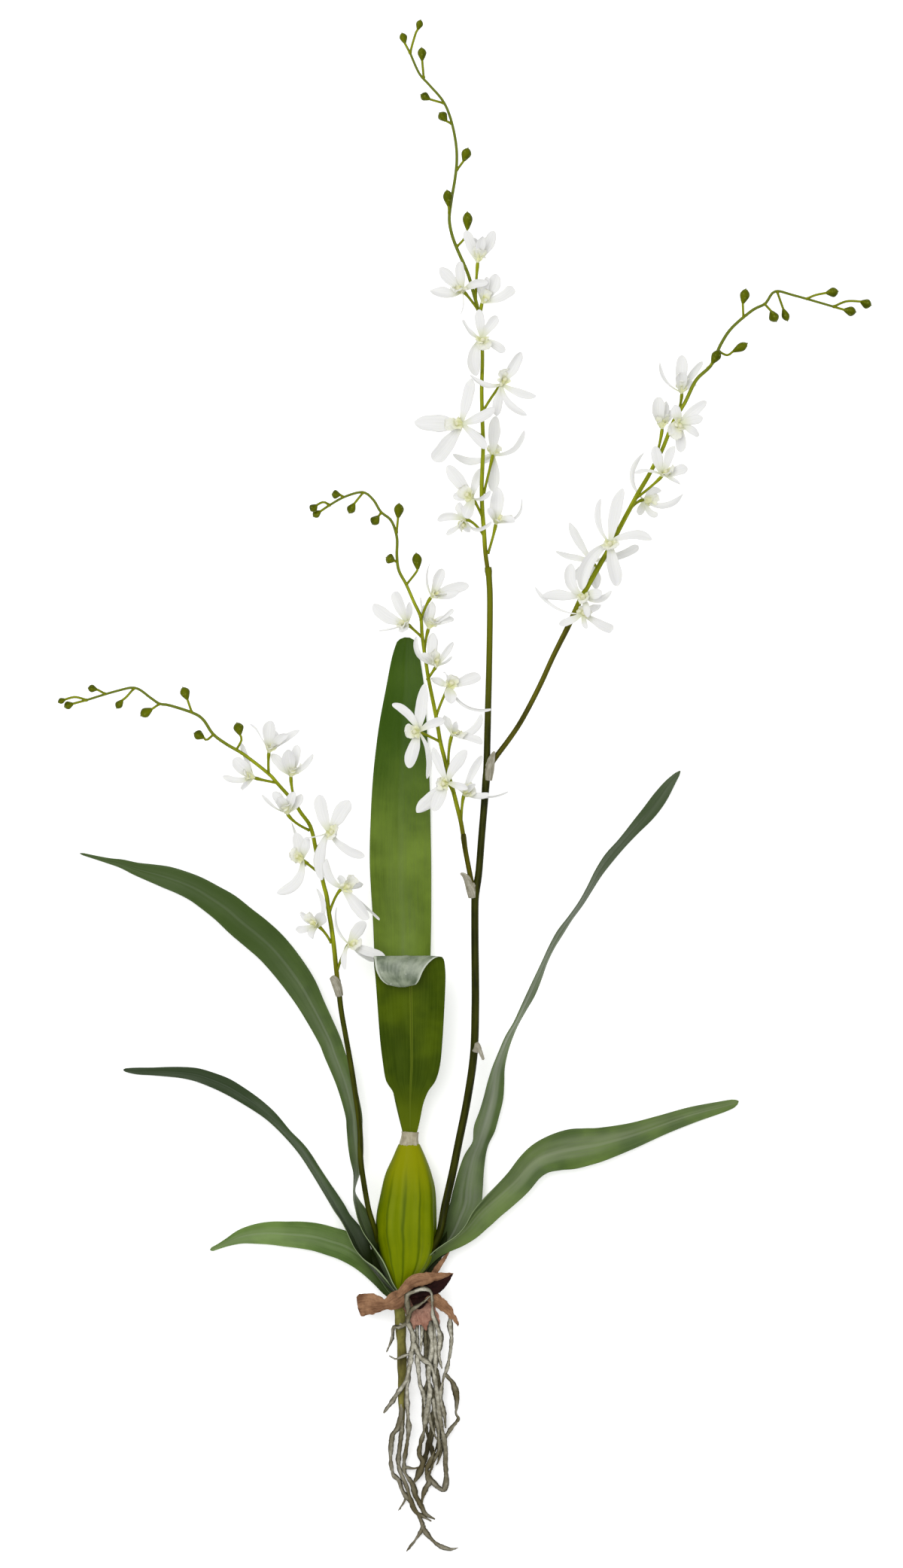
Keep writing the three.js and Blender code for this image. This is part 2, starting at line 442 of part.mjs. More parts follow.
const SPRAYS = {
  spray_top: {
    radii: [1.5, 0.8],
    axis: [
      [54.3, 430, 33], [52.5, 442.5, 33], [51.5, 457.5, 33], [50.5, 470, 33], [50, 485, 34],
      [50.5, 500, 34],
      [51, 515, 34], [50.5, 530, 34], [50, 550, 34], [50.5, 570, 34], [50, 590, 34], [48, 602.5, 33],
      [44, 617.5, 33], [40.5, 629, 33], [33.5, 645, 32], [30, 655, 32], [28.5, 665, 32], [30, 677.5, 31],
      [32.5, 692.5, 31], [33.5, 705, 30], [32.5, 717.5, 30], [29, 732.5, 29], [24, 743.5, 28],
      [15, 754, 27],
      [8.5, 761.5, 26], [2.5, 775, 25],
    ],
    buds: [
      [2.2, [2.5, 775, 25], [4, 781, 26], [6.5, 789, 27], [7.5, 790.5, 27], [9.5, 797, 27.5]],
      [2.6, [2.5, 775, 25], [-1, 781.5, 25], [-3, 788.5, 24.5]],
      [2.8, [11.5, 758.5, 26], [10.5, 770, 28], [10, 778.5, 29]],
      [2.8, [25, 741.5, 28], [15.5, 744, 31], [9.5, 747, 32]],
      [3, [30, 728, 29], [26.5, 729.5, 32], [22, 735, 33]],
      [3.2, [33.5, 697, 30.5], [38, 703, 32], [41, 711.5, 33]],
      [3, [28.5, 668, 32], [28, 673, 34], [27, 683.5, 35]],
      [3.2, [33.5, 646, 32], [38.5, 651.5, 33], [40.5, 657.5, 34], [40.5, 669, 35]],
    ],
    blooms: [
      [[47, 636, 40], [43, 621, 33], [0.15, 0.95, 0.3], [1, 6, 5],
        [-7, 19.5, 5], [11.5, 21, -2], [3.5, 15.5, 13], [-3, 16, -11], [7, 17, -12]],
      [[37.5, 616, 44], [47.6, 604, 33], [-0.5, 0.3, 0.8], [-3, 0.5, 6],
        [-16, 14, 4], [-21.5, 2, 2], [-3, 19, 2], [-1.5, -17, 4, 70], [16, 5, 5]],
      [[50.5, 609, 37], [50, 590, 34], [0.4, 0.85, 0.3], [2, 7, 4],
        [9.5, 18, 4], [19.5, 10, 0], [2, 16, 10], [-5, 15, -13], [9, 13, -16]],
      [[50, 584, 44], [50.5, 562, 34], [0, 0.35, 0.93], [0, 4, 7],
        [-3.5, 20, 6], [11, 14, 4], [-12, 13, 2, 40], [15, -8, 3, 30], [-6, -24, -6]],
      [[63.5, 554.5, 38], [51, 537, 34], [0.55, 0.35, 0.75], [-1.5, 5.5, 6],
        [12, 21, 2], [23, -8.5, -1], [17.5, -19, 2, 30], [-5.5, -21, -3], [-20, 5.5, 9, 40, 5]],
      [[36.5, 528, 46, 11], [50.5, 520, 34], [-0.25, 0.1, 0.95], [-8, -1, 5],
        [-31.5, 2, -5], [7, 30.5, -2], [22.5, 9.5, 2], [17.5, -15, 0], [-20, -25.5, -4]],
      [[57.5, 508, 25], [51.5, 482.5, 33], [0.1, 0.5, -0.85], [1, 5, -5],
        [-1, 25.5, -4], [19.5, 16.5, 2, 50, -7], [0, -24, -4], [-26.5, 1.5, -6, 60, 3], [-6, -4, -25]],
      [[43.5, 479, 38], [51, 465, 33], [-0.5, 0.3, 0.8], [-8, 5, 3],
        [-16.5, 21, 0], [4, 22, -18], [11.5, 5, 14], [-12, 2, -18], [-17, -3, -8]],
      [[38.5, 464.5, 30], [51, 455, 33], [-0.2, -0.6, 0.75], [-2, -5, 5],
        [-17.5, 1, 2, 0, -5], [-13, -9, -6, 50], [16, -2.5, 13, 50, -5], [-3, 12, -10], [3, -8, -22]],
      [[59.5, 462.5, 36], [54.3, 442.5, 33], [0.1, 0.9, 0.4], [3, 6, 5],
        [0.5, 24, 2], [18, 17.5, -2, 60, -9], [12.5, 3, 10], [-5.5, 4, 14], [8, 6, -18]],
    ],
  },
  spray_middle: {
    radii: [1.5, 0.8],
    axis: [
      [37.9, 254, 40], [36, 265, 40], [33.5, 275, 40], [31, 285, 40], [28, 295, 40], [25, 307.5, 40],
      [22.5, 317.5, 40], [20, 332.5, 40], [17, 347.5, 40], [14.5, 360, 40], [13, 370, 40], [11.5, 380, 40],
      [10.3, 390, 40], [9.5, 400, 39], [5, 410, 38], [0, 421.5, 37], [-5, 431, 36], [-6.3, 441, 35],
      [-6.3, 453, 34], [-10, 464, 33], [-17, 470, 32], [-22, 478, 31], [-29, 483, 31], [-41, 480, 30],
      [-51, 474.5, 29],
    ],
    buds: [
      [2.8, [-51, 474.5, 29], [-55, 476.5, 30], [-59.5, 474.5, 31], [-63.5, 470.5, 31]],
      [2.6, [-51, 474.5, 29], [-57, 470.5, 27], [-62, 467, 26]],
      [2.8, [-42, 479.8, 30], [-44, 481.3, 31], [-49.5, 481.5, 32]],
      [2.8, [-28.5, 483, 31], [-34.5, 475.5, 31], [-38, 469, 31]],
      [3.2, [-16.5, 469.6, 32], [-18.5, 467, 33], [-22.5, 461.5, 34]],
      [3.2, [-6.5, 456, 34], [-5.5, 466, 36], [-4.8, 475.5, 37]],
      [3.4, [-6.3, 437, 35.3], [-8, 437.3, 37], [-13.5, 439.5, 38]],
      [3, [0, 421.5, 37], [6, 429, 38], [7.5, 431.8, 38.5], [6.5, 442.5, 39]],
    ],
    blooms: [
      [[17, 413.5, 42], [9.7, 398, 39.2], [0.7, 0.5, 0.5], [7, 2.5, 3],
        [-1, 21.5, 0, 70, 3], [7, 18, 4], [25, 7, 0], [14.5, -3, 9], [5, 8, -18]],
      [[0.5, 395.5, 44], [10, 387, 40], [-0.6, 0.5, 0.6], [-2, 3, 6],
        [-22.5, 13.5, 0, 0], [-9.5, 22, -2], [2, 13.5, 12], [-19, -5.5, -2, 75], [-3, -5.5, 14]],
      [[15, 393, 36], [12, 376, 40], [0.4, 0.85, 0.2], [3, 6, 4],
        [-5, 15.5, -8], [3, 17.5, 4], [17.5, 5, 0], [17, 12.5, 6, 60], [8, 10, -14]],
      [[20, 367.5, 44], [14, 358.5, 40], [0.35, 0.55, 0.75], [-1.5, 6.5, 5],
        [-1, 21, 0], [10, 16, 6], [10.5, 5.5, 12, 60], [-9, 8.5, 6], [-13, 17, -30, 0, 3]],
      [[28.5, 354, 43], [20, 335, 40], [0.3, 0.2, 0.9], [1.5, 5, 5],
        [20.5, 8, 0], [-11, 6, -5], [-7, 10.5, 12, 70], [-3, -9.5, 16], [26.5, -15.5, -2, 40, -5]],
      [[8, 324, 48], [22, 317.5, 40], [-0.2, 0, 0.98], [-5.5, -0.5, 5],
        [-16.5, 18, 0, 0, -2], [4.5, 32, -4], [17, 6, 2], [-6, -24.5, 0], [4, -32, -14, 40, 6]],
      [[30.5, 322, 38], [28, 296, 40], [0.4, 0.6, 0.6], [5.5, 1.5, 6],
        [-4, 11, -14], [19, 13, 2, 0, -5], [20, -4.5, 2], [-14.5, -4.5, -10], [3, 8, 14]],
      [[27, 290, 51, 12], [31.5, 282, 40], [-0.3, -0.1, 0.95], [-4.5, -0.5, 5],
        [-10, 22, -4], [13, 20, 2], [-19.5, -20, -5], [-8, -19, 3], [14, -3, 8]],
      [[38.5, 282.5, 42], [36.5, 262, 40], [0.3, 0.4, 0.85], [3, 5, 4],
        [12, 24, -5], [6.5, 7, 14], [29.5, 2, 1, 70, -4], [16.5, -0.5, 7], [-4, 6, -18]],
    ],
  },
  spray_right: {
    radii: [1.9, 0.8],
    axis: [
      [107.5, 394, 33], [112.5, 405, 33], [116, 412.5, 33], [121.5, 422.5, 33], [130, 437.5, 33],
      [133.5, 443.5, 33],
      [141.5, 459, 33], [150, 475, 33], [154, 482.5, 33], [160, 492.5, 33], [164, 500, 33],
      [170, 511.5, 33],
      [177.5, 530, 33], [185, 542.5, 33], [192.5, 557.5, 33], [202.5, 567.5, 32], [209, 581.5, 31],
      [216.5, 592.5, 30], [230, 604, 29], [238.5, 608.5, 28], [245, 616.5, 28], [257.5, 614, 27],
      [284, 606.5, 26],
    ],
    buds: [
      [3, [284, 606.5, 26], [292.5, 610, 27], [302, 609.8, 28], [309, 607.3, 28]],
      [3, [284, 606.5, 26], [291, 604.5, 25], [299, 603, 24]],
      [3, [266, 611.6, 26.7], [271.5, 614, 28], [279, 615.5, 29], [287, 616.5, 30]],
      [2.6, [246.5, 616.2, 28], [250.5, 605, 27], [253.5, 597, 26]],
      [3.4, [238, 608.3, 28], [242.5, 603.5, 27], [246, 596.5, 26]],
      [3, [224, 599, 29.4], [223.5, 608.5, 31], [225.5, 618, 32]],
      [2.8, [207, 577, 31.3], [213, 574, 32], [217, 576.5, 32.5], [226.5, 581.8, 33]],
      [3, [200, 565, 32.3], [203, 568.5, 35], [207.5, 577, 36.5]],
    ],
    blooms: [
      [[183, 549.5, 27], [180, 534, 33], [-0.1, 0.9, 0.3], [1, 6, 5],
        [-14.5, 20.5, 2, 50, 5], [0, 25, 2], [-1.5, 12, 15], [13.5, 21.5, -8], [10, 8, -18]],
      [[170, 526, 28], [164, 500, 33], [0, 0.95, 0.2], [1, 6, 4],
        [-0.5, 19, 4], [5, 10, -14], [3, 17, -8], [-7, 12, -12], [-5, 14, 8]],
      [[181, 528, 46], [176, 525, 33], [0.5, 0.1, 0.85], [3.5, -0.5, 6],
        [19.5, 13, -2], [16.5, 2.5, 9], [16.5, -9, -2], [1.5, -19, -2], [-8, 6, 9]],
      [[170, 494, 44], [152, 478.5, 33], [0.3, 0.5, 0.8], [2.5, 3.5, 6],
        [-4, 18.5, 4], [7.5, 17, 2], [17.5, 6, 0], [12, -6.5, 2, 50], [-18.5, 2.5, 2, 60]],
      [[158, 478, 22], [148, 471, 33], [0.6, -0.2, -0.6], [6, 0, -4],
        [0.5, 30, -2, 20, 9], [-2, -11, -14], [8, -12, -10], [26.5, 3, -4, 50, -8], [10, 8, -22]],
      [[135, 449, 46, 10.5], [138, 452, 33], [-0.1, 0.2, 0.97], [0.5, 4.5, 5],
        [7.5, 37, -4], [-6, 29.5, -4, 50, 6], [28, 3, -2], [5, -29, -3], [-21, -24, -5]],
      [[123, 438, 24], [127, 432, 33], [-0.3, 0.3, -0.85], [-2, 2, -6],
        [-15.5, 25.5, 0], [-24, 6.5, -2, 50], [31.5, 14, -4], [9, -17, -4], [-12, -12, -14]],
      [[117.5, 413.5, 49], [117, 414.5, 33], [-0.2, 0.2, 0.95], [-0.5, 2.5, 6],
        [-27.5, 1, -3], [-9, 22.5, -3], [12, 5, 8], [18.5, 5, -3], [3, -14, 3]],
      [[117, 402, 41], [109.5, 398.5, 33], [0, -0.2, 0.97], [2, 3, 5],
        [-31, 17, -3, 60, 6], [-16, -8.5, 0], [21, -13, -2], [12, 7, -14], [4, -14, 6]],
    ],
  },
  spray_left: {
    radii: [1.6, 0.8],
    axis: [
      [-45.5, 157.4, 31], [-46.5, 165, 31], [-48, 180, 31], [-50, 195, 31], [-51.5, 204, 31],
      [-53, 215, 31],
      [-55, 222.5, 31], [-60, 245, 31], [-62, 255, 31], [-64.5, 262.5, 31], [-70, 270, 31],
      [-75, 277.5, 31],
      [-86, 290, 31], [-91.5, 296, 31], [-107.5, 308.5, 31], [-120, 316, 31], [-128.5, 322.5, 31],
      [-135, 332, 31],
      [-142, 336.5, 31], [-157.5, 341.5, 30], [-164, 342.5, 30], [-170, 346.5, 30], [-180, 353, 30],
      [-192.5, 351, 29], [-212.5, 345, 28],
    ],
    buds: [
      [2, [-212.5, 345, 28], [-220, 347, 28], [-226.5, 345.5, 28], [-231.5, 343.5, 28]],
      [2.7, [-212.5, 345, 28], [-221.5, 342.6, 27], [-227.5, 340.5, 26]],
      [2.5, [-200, 349, 28.6], [-205.5, 352, 30], [-211.5, 353, 31]],
      [2.5, [-181, 352.8, 30], [-186, 347, 31], [-188.5, 345, 31], [-192.5, 339.5, 31]],
      [3.2, [-164, 342.5, 30], [-169, 339, 31], [-176.5, 334.5, 31]],
      [3.2, [-142.5, 336.7, 31], [-145.5, 345.5, 32], [-148.5, 353.5, 33]],
      [3.2, [-128, 322.2, 31], [-132.5, 318.5, 32], [-134.5, 320, 33], [-141, 323, 34]],
      [3.4, [-113, 311.8, 31], [-109.5, 318.5, 32], [-110.5, 322, 33], [-112.5, 330, 34]],
    ],
    blooms: [
      [[-101.5, 293.5, 32], [-86, 290, 31], [-0.85, 0.3, 0.4], [-5, 4, 3],
        [-13, 12, 6], [-20, 1, 0, 0, 3], [-7.5, 23, -16], [-6, -6, 18], [-8, -8, -14]],
      [[-91, 311, 40], [-91.5, 296, 31], [0.2, 0.9, 0.4], [5, 6, 4],
        [1, 20.5, 4], [-10.5, 19, -4, 60, 1], [12.5, 12, 8], [19.5, 14, -4, 50], [4, 14, -14]],
      [[-76.5, 295, 36], [-73, 274.5, 31], [0.2, 0.9, 0.4], [3, 6, 4],
        [-12, 15, 0, 0, 3], [-1, 16, 10], [5, 19.5, 0], [14.5, 13.5, 4], [2, 14, -14]],
      [[-79, 270, 41], [-65, 263.5, 31], [-0.2, 0.9, 0.4], [1, 5, 5],
        [-16, 12.5, 0, 60, 3], [-9, 15, 4], [3, 14, 10], [10.5, 12.5, 0], [-9, 9, -14]],
      [[-51, 257.5, 43, 10.5], [-60, 246, 31], [0.1, 0.1, 0.98], [1, 2, 6],
        [-6.5, 24.5, -2], [12.5, 21, 0], [-14, -4, 4, 70], [23.5, -17, 0, 0, -3], [6, -34, -4, 0, -5]],
      [[-69, 239, 38], [-56.5, 229, 31], [-0.5, 0.4, 0.7], [-6, 3, 4],
        [-4, 18, 2], [3.5, 16, 4], [-7.5, 24.5, -6, 60], [-16, -23, -2, 0, 5], [-6.5, -5, 14, 50]],
      [[-42, 220, 38, 10.5], [-51.3, 203, 31], [0.5, -0.2, 0.8], [5.5, 6.5, 3],
        [17, -20, 2], [24.5, -19, -8, 50], [2, -19, -10], [-2, 8, -16], [14, 4, -14]],
      [[-59, 195, 35], [-50, 184, 31], [-0.7, 0.2, 0.6], [-5, 6.5, 2],
        [3, 8, 14], [-1.5, 24.5, 0, 50, -6], [-13, -3, 6], [-2.5, -8, 13], [-12, 8, -14]],
      [[-38, 183, 36], [-45.8, 166, 31], [0.4, 0.2, 0.85], [5, -1, 5],
        [10.5, 14.5, -8], [24, -8, 0], [16.5, -12, -8], [-2.5, -17, 4, 30], [-9, 22, -4, 40, 5]],
    ],
  },
};

// Where a tepal's sections lie along it, and their share of its full width.
const TEPAL_STATIONS = [[0.3, 0.8], [0.62, 1], [0.88, 0.7]];
const LIP_STATIONS = [[0.65, 1]];
const BUD_STATIONS = [[0.35, 1], [0.75, 0.8], [1, 0]];

// One tepal or lip, from the bloom's middle to a tip, as a thin diamond section that is carried along a
// bent midline. Its flat side looks the way the bloom faces, unless it is turned.
function petal(middle, face, tip, stations, width, arch) {
  const chord = vector(tip);
  const [, , , turn = 0, bow = 0] = tip;
  const left = new THREE.Vector3(-chord.y, chord.x, 0).normalize();
  const bend = middle.clone().addScaledVector(chord, 0.5).addScaledVector(face, 2 * arch);
  bend.addScaledVector(left, 2 * bow);
  const line = new THREE.QuadraticBezierCurve3(middle, bend, middle.clone().add(chord));
  const side = new THREE.Vector3().crossVectors(chord, face).normalize();
  side.applyAxisAngle(chord.clone().normalize(), THREE.MathUtils.degToRad(turn));
  const rings = stations.map(([along, share]) => {
    const point = line.getPoint(along);
    const normal = new THREE.Vector3().crossVectors(side, line.getTangent(along)).normalize();
    const half = (share * width) / 2;
    return [
      towards(point, side, -half),
      towards(point, normal, TEPAL_THICKNESS / 2),
      towards(point, side, half),
      towards(point, normal, -TEPAL_THICKNESS / 2),
    ];
  });
  const root = towards(middle, chord.clone().normalize(), TEPAL_ROOT);
  return toSolid(loft([[root], ...rings, [line.getPoint(1)]]));
}

function bloom([seat, , facing, lip, ...tips]) {
  const middle = vector(seat);
  const face = vector(facing).normalize();
  const [, , , width = TEPAL_WIDTH] = seat;
  const heart = new THREE.OctahedronGeometry(HEART_RADIUS);
  heart.applyQuaternion(new THREE.Quaternion().setFromUnitVectors(new THREE.Vector3(0, 0, 1), face));
  heart.translate(middle.x, middle.y, middle.z);
  const tepals = tips.map((tip) => petal(middle, face, tip, TEPAL_STATIONS, width, TEPAL_ARCH));
  return join([toSolid(heart), petal(middle, face, lip, LIP_STATIONS, LIP_WIDTH, 0), ...tepals]);
}

// The pedicel comes up behind its bloom and stops just short of it.
function pedicel([seat, start, facing]) {
  const middle = vector(seat);
  const face = vector(facing).normalize();
  const end = towards(middle, face, -HEART_RADIUS - GAP);
  const reach = vector(start).distanceTo(end);
  const line = new THREE.QuadraticBezierCurve3(vector(start), towards(end, face, -0.4 * reach), end);
  return toSolid(stalk(line.getPoints(2), PEDICEL_RADIUS, PEDICEL_SIDES));
}

function bud([radius, ...route]) {
  const points = route.map(vector);
  const tip = points.pop();
  const line = new THREE.LineCurve3(points[points.length - 1], tip);
  const body = BUD_STATIONS.map(([along]) => line.getPoint(along));
  const radii = [...points.map(() => BUD_STALK_RADIUS), ...BUD_STATIONS.map(([, share]) => share * radius)];
  return toSolid(stalk([...points, ...body], radii, BUD_SIDES));
}

function rachis({ radii, axis }, grow) {
  const [first, last] = radii;
  return toSolid(stalk(axis.map(vector), taper(axis.length, first + grow, last + grow), RACHIS_SIDES));
}

function spray(parts) {
  return join([rachis(parts, 0), ...parts.blooms.map(pedicel), ...parts.buds.map(bud)]);
}

// Assembly.

addNode("pseudobulb", bulb(0), BULB_GREEN);
addNode("bulb_collar", collar(), DRY_BEIGE);
for (const [name, rows] of Object.entries(LEAVES)) {
  addNode(name, toSolid(blade(rows, LEAF_THICKNESS)).subtract(bulb(GAP)), LEAF_GREEN);
}
for (const [name, rows] of Object.entries(BRACTS)) {
  addNode(name, toSolid(blade(rows, BRACT_THICKNESS)).subtract(bulb(GAP)), DRY_BROWN);
}
addNode("aerial_roots", roots().subtract(bulb(GAP)), ROOT_GREY);
addNode("scape_main", mainScape(0), STEM_OLIVE);
addNode("scape_left", leftScape(0), STEM_OLIVE);
const stems = join([mainScape(GAP), leftScape(GAP), rachis(SPRAYS.spray_left, GAP)]);
for (const [name, { route, radii }] of Object.entries(SHEATHS)) {
  addNode(name, toSolid(stalk(route.map(vector), radii, SHEATH_SIDES)).subtract(stems), DRY_BEIGE);
}
for (const [name, parts] of Object.entries(SPRAYS)) {
  addNode(name, spray(parts), SPRAY_GREEN);
  parts.blooms.forEach((row, i) => {
    addNode(name.replace("spray", "bloom") + "_" + (i + 1), bloom(row), WHITE);
  });
}

export default plant;
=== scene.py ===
# %% [markdown]
# # A bare-root orchid plant
# A whole orchid lies on a pale surface and is seen from straight above. Its roots are towards -Y and its
# flowers towards +Y. The solids that carry its weight already exist, and this file dresses them: it opens
# them as a fixed frame and builds a finer piece for each one in the same place.

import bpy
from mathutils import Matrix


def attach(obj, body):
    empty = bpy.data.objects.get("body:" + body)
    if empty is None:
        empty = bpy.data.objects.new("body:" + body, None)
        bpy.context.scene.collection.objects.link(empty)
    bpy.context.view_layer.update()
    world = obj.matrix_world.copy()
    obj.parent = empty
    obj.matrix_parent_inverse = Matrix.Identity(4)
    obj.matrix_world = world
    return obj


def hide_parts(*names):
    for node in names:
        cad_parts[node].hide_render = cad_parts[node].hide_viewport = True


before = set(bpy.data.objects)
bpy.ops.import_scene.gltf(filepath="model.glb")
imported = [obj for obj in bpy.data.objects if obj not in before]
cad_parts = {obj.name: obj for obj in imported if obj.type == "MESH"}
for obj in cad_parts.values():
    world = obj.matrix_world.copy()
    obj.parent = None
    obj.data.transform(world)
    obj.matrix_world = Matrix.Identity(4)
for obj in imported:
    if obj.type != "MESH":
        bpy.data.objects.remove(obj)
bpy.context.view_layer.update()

# %% [markdown]
# Plant sizes are easy to think of in millimetres, and Blender works in metres. All the tables below are in
# millimetres, and each mesh is scaled once, when it is finished. A random draw always has a seed, so that
# the plant grows the same way every time.

# %% Units and imports
import math
import random
from bisect import bisect_right
from collections import namedtuple
from itertools import accumulate

import bmesh
import bpy
from mathutils import Quaternion, Vector, noise

MM = 0.001
MM_IN_CM = 10
UP = Vector((0, 0, 1))
RIGHT = Vector((1, 0, 0))
UPRIGHT = 0.2  # a line steeper than this takes the right as its side
NOISE_SEED = 1

noise.seed_set(NOISE_SEED)
print("one table unit is", MM, "m")

# %% [markdown]
# ## The stage
# A product picture of a plant is taken on a white table under large soft lamps, so that leaves show their
# gloss and white petals keep their soft grey shading. A bright even sky does most of the lighting here, and
# one large lamp from the upper left gives the forms a lit side. The plain display transform keeps the white
# of the petals, where the filmic one would turn it grey.

# %% Sky and lamps
SKY_STRENGTH = 0.55
LAMPS = {  # place and width in metres, power in watts
    "softbox_above": ((-0.7, 0.9, 3.2), 2.2, 60),
    "softbox_right": ((1.8, 0.0, 2.4), 1.8, 9),
}

scene = bpy.context.scene
scene.view_settings.view_transform = "Standard"
world = bpy.data.worlds.new("studio")
world.use_nodes = True
sky = world.node_tree.nodes["Background"].inputs
sky["Color"].default_value = (1, 1, 1, 1)
sky["Strength"].default_value = SKY_STRENGTH
scene.world = world
for name, (place, width, power) in LAMPS.items():
    light = bpy.data.lights.new(name, "AREA")
    light.energy = power
    light.size = width
    lamp = bpy.data.objects.new(name, light)
    lamp.location = place
    lamp.rotation_euler = (-Vector(place)).to_track_quat("-Z", "Y").to_euler()
    lamp.visible_camera = False
    scene.collection.objects.link(lamp)
print("lamps:", list(LAMPS))

# %% [markdown]
# The camera looks straight down. A far camera with a long lens draws the plant without bending it, as in
# the picture, so one pixel stays the same number of millimetres from the roots to the highest petal.

# %% Camera
PICTURE = (1200, 2083)  # the picture's width and height in pixels
MM_PER_PIXEL = 0.5
PLANT_PIXEL = (540, 1620)  # where the picture shows the frame's origin
CAMERA_HEIGHT = 7.0  # metres
MIDDLE_HEIGHT = 0.03  # the height of the stems, where the picture's scale holds

camera_data = bpy.data.cameras.new("camera")
camera_data.sensor_fit = "VERTICAL"
camera_data.sensor_height = 36
view_height = PICTURE[1] * MM_PER_PIXEL * MM
camera_data.lens = camera_data.sensor_height * (CAMERA_HEIGHT - MIDDLE_HEIGHT) / view_height
camera = bpy.data.objects.new("camera", camera_data)
camera.location = (
    (PICTURE[0] / 2 - PLANT_PIXEL[0]) * MM_PER_PIXEL * MM,
    (PLANT_PIXEL[1] - PICTURE[1] / 2) * MM_PER_PIXEL * MM,
    CAMERA_HEIGHT,
)
scene.collection.objects.link(camera)
scene.camera = camera
print("camera over", tuple(round(c, 3) for c in camera.location), "lens", round(camera_data.lens), "mm")

# %% [markdown]
# ## Node groups
# Leaves, petals, stems and roots all show the same few effects: fibres that run lengthwise, a rib along the
# middle, broad blotches and small specks. Each effect is a node group that is built once. The groups give
# out masks only, and each material keeps its own shader. Fibres and ribs follow a UV map named lay, in
# which x runs across a piece from 0 to 1 and y runs along it in centimetres.

# %% Steps in a node tree
class Nodes:
    """A node tree, with the few steps that every group and every finish is built from."""

    def __init__(self, tree):
        self.tree = tree

    def add(self, kind, inputs=None, **settings):
        node = self.tree.nodes.new(kind)
        for name, value in settings.items():
            setattr(node, name, value)
        for socket, value in (inputs or {}).items():
            if isinstance(value, bpy.types.NodeSocket):
                self.tree.links.new(value, node.inputs[socket])
            else:
                node.inputs[socket].default_value = value
        return node

    def maths(self, operation, first, second=0.0):
        return self.add("ShaderNodeMath", {0: first, 1: second}, operation=operation).outputs[0]

    def distance(self, value, middle):
        """How far a value is from a middle, on either side."""
        return self.maths("ABSOLUTE", self.maths("SUBTRACT", value, middle))

    def split(self, vector):
        return self.add("ShaderNodeSeparateXYZ", {0: vector}).outputs

    def ramp(self, value, low, high, to_low=0.0, to_high=1.0):
        """Carries a value from one range to another, with a soft start and end."""
        sockets = {"Value": value, "From Min": low, "From Max": high, "To Min": to_low, "To Max": to_high}
        return self.add("ShaderNodeMapRange", sockets, interpolation_type="SMOOTHSTEP").outputs["Result"]


# %% Open a node group
class Group(Nodes):
    """A new node group, with a vector or a number for each input and a number for each output."""

    def __init__(self, name, inputs, outputs):
        super().__init__(bpy.data.node_groups.new(name, "ShaderNodeTree"))
        for socket, value in inputs.items():
            kind = "NodeSocketVector" if value is None else "NodeSocketFloat"
            made = self.tree.interface.new_socket(socket, in_out="INPUT", socket_type=kind)
            if value is not None:
                made.default_value = value
        for socket in outputs:
            self.tree.interface.new_socket(socket, in_out="OUTPUT", socket_type="NodeSocketFloat")
        self.given = self.add("NodeGroupInput").outputs
        self.result = self.add("NodeGroupOutput").inputs

    def give(self, socket, value):
        self.tree.links.new(value, self.result[socket])


# %% Fibres along a piece
fibres = Group("fibres", {"Lay": None, "Across": 40.0, "Along": 0.6}, ["Fibre"])
across, along, _ = fibres.split(fibres.given["Lay"])
stretch = {
    0: fibres.maths("MULTIPLY", across, fibres.given["Across"]),
    1: fibres.maths("MULTIPLY", along, fibres.given["Along"]),
}
stretched = fibres.add("ShaderNodeCombineXYZ", stretch).outputs[0]
look = {"Vector": stretched, "Scale": 1.0, "Detail": 3.0, "Roughness": 0.6}
grain = fibres.add("ShaderNodeTexNoise", look).outputs["Fac"]
fibres.give("Fibre", fibres.ramp(grain, 0.34, 0.66))
print("made the group", fibres.tree.name)

# %% Rib, crease and rims of a blade
MIDRIB = 0.5  # where the midrib lies across a blade
CREASE_SHARE = 0.35  # how wide a crease is for its rib
RIM_FROM, RIM_FULL = 0.483, 0.499  # how far from the midrib a rim's colour starts and is full

ribs = Group("rib", {"Lay": None, "Half Width": 0.02}, ["Rib", "Crease", "Rim"])
from_midrib = ribs.distance(ribs.split(ribs.given["Lay"])[0], MIDRIB)
half_width = ribs.given["Half Width"]
ribs.give("Rib", ribs.ramp(from_midrib, half_width, 0.0))
ribs.give("Crease", ribs.ramp(from_midrib, ribs.maths("MULTIPLY", half_width, CREASE_SHARE), 0.0))
ribs.give("Rim", ribs.ramp(from_midrib, RIM_FROM, RIM_FULL))
print("made the group", ribs.tree.name)

# %% Blotches and specks
blotches = Group("blotches", {"Place": None, "Scale": 30.0, "Contrast": 0.12}, ["Blotch"])
look = {"Vector": blotches.given["Place"], "Scale": blotches.given["Scale"], "Detail": 3.0, "Roughness": 0.55}
cloud = blotches.add("ShaderNodeTexNoise", look).outputs["Fac"]
low = blotches.maths("SUBTRACT", 0.5, blotches.given["Contrast"])
high = blotches.maths("ADD", 0.5, blotches.given["Contrast"])
blotches.give("Blotch", blotches.ramp(cloud, low, high))

specks = Group("specks", {"Place": None, "Scale": 80.0, "Size": 0.08}, ["Speck"])
look = {"Vector": specks.given["Place"], "Scale": specks.given["Scale"]}
from_speck = specks.add("ShaderNodeTexVoronoi", look).outputs["Distance"]
specks.give("Speck", specks.ramp(from_speck, specks.given["Size"], 0.0))
print("made the groups", blotches.tree.name, "and", specks.tree.name)

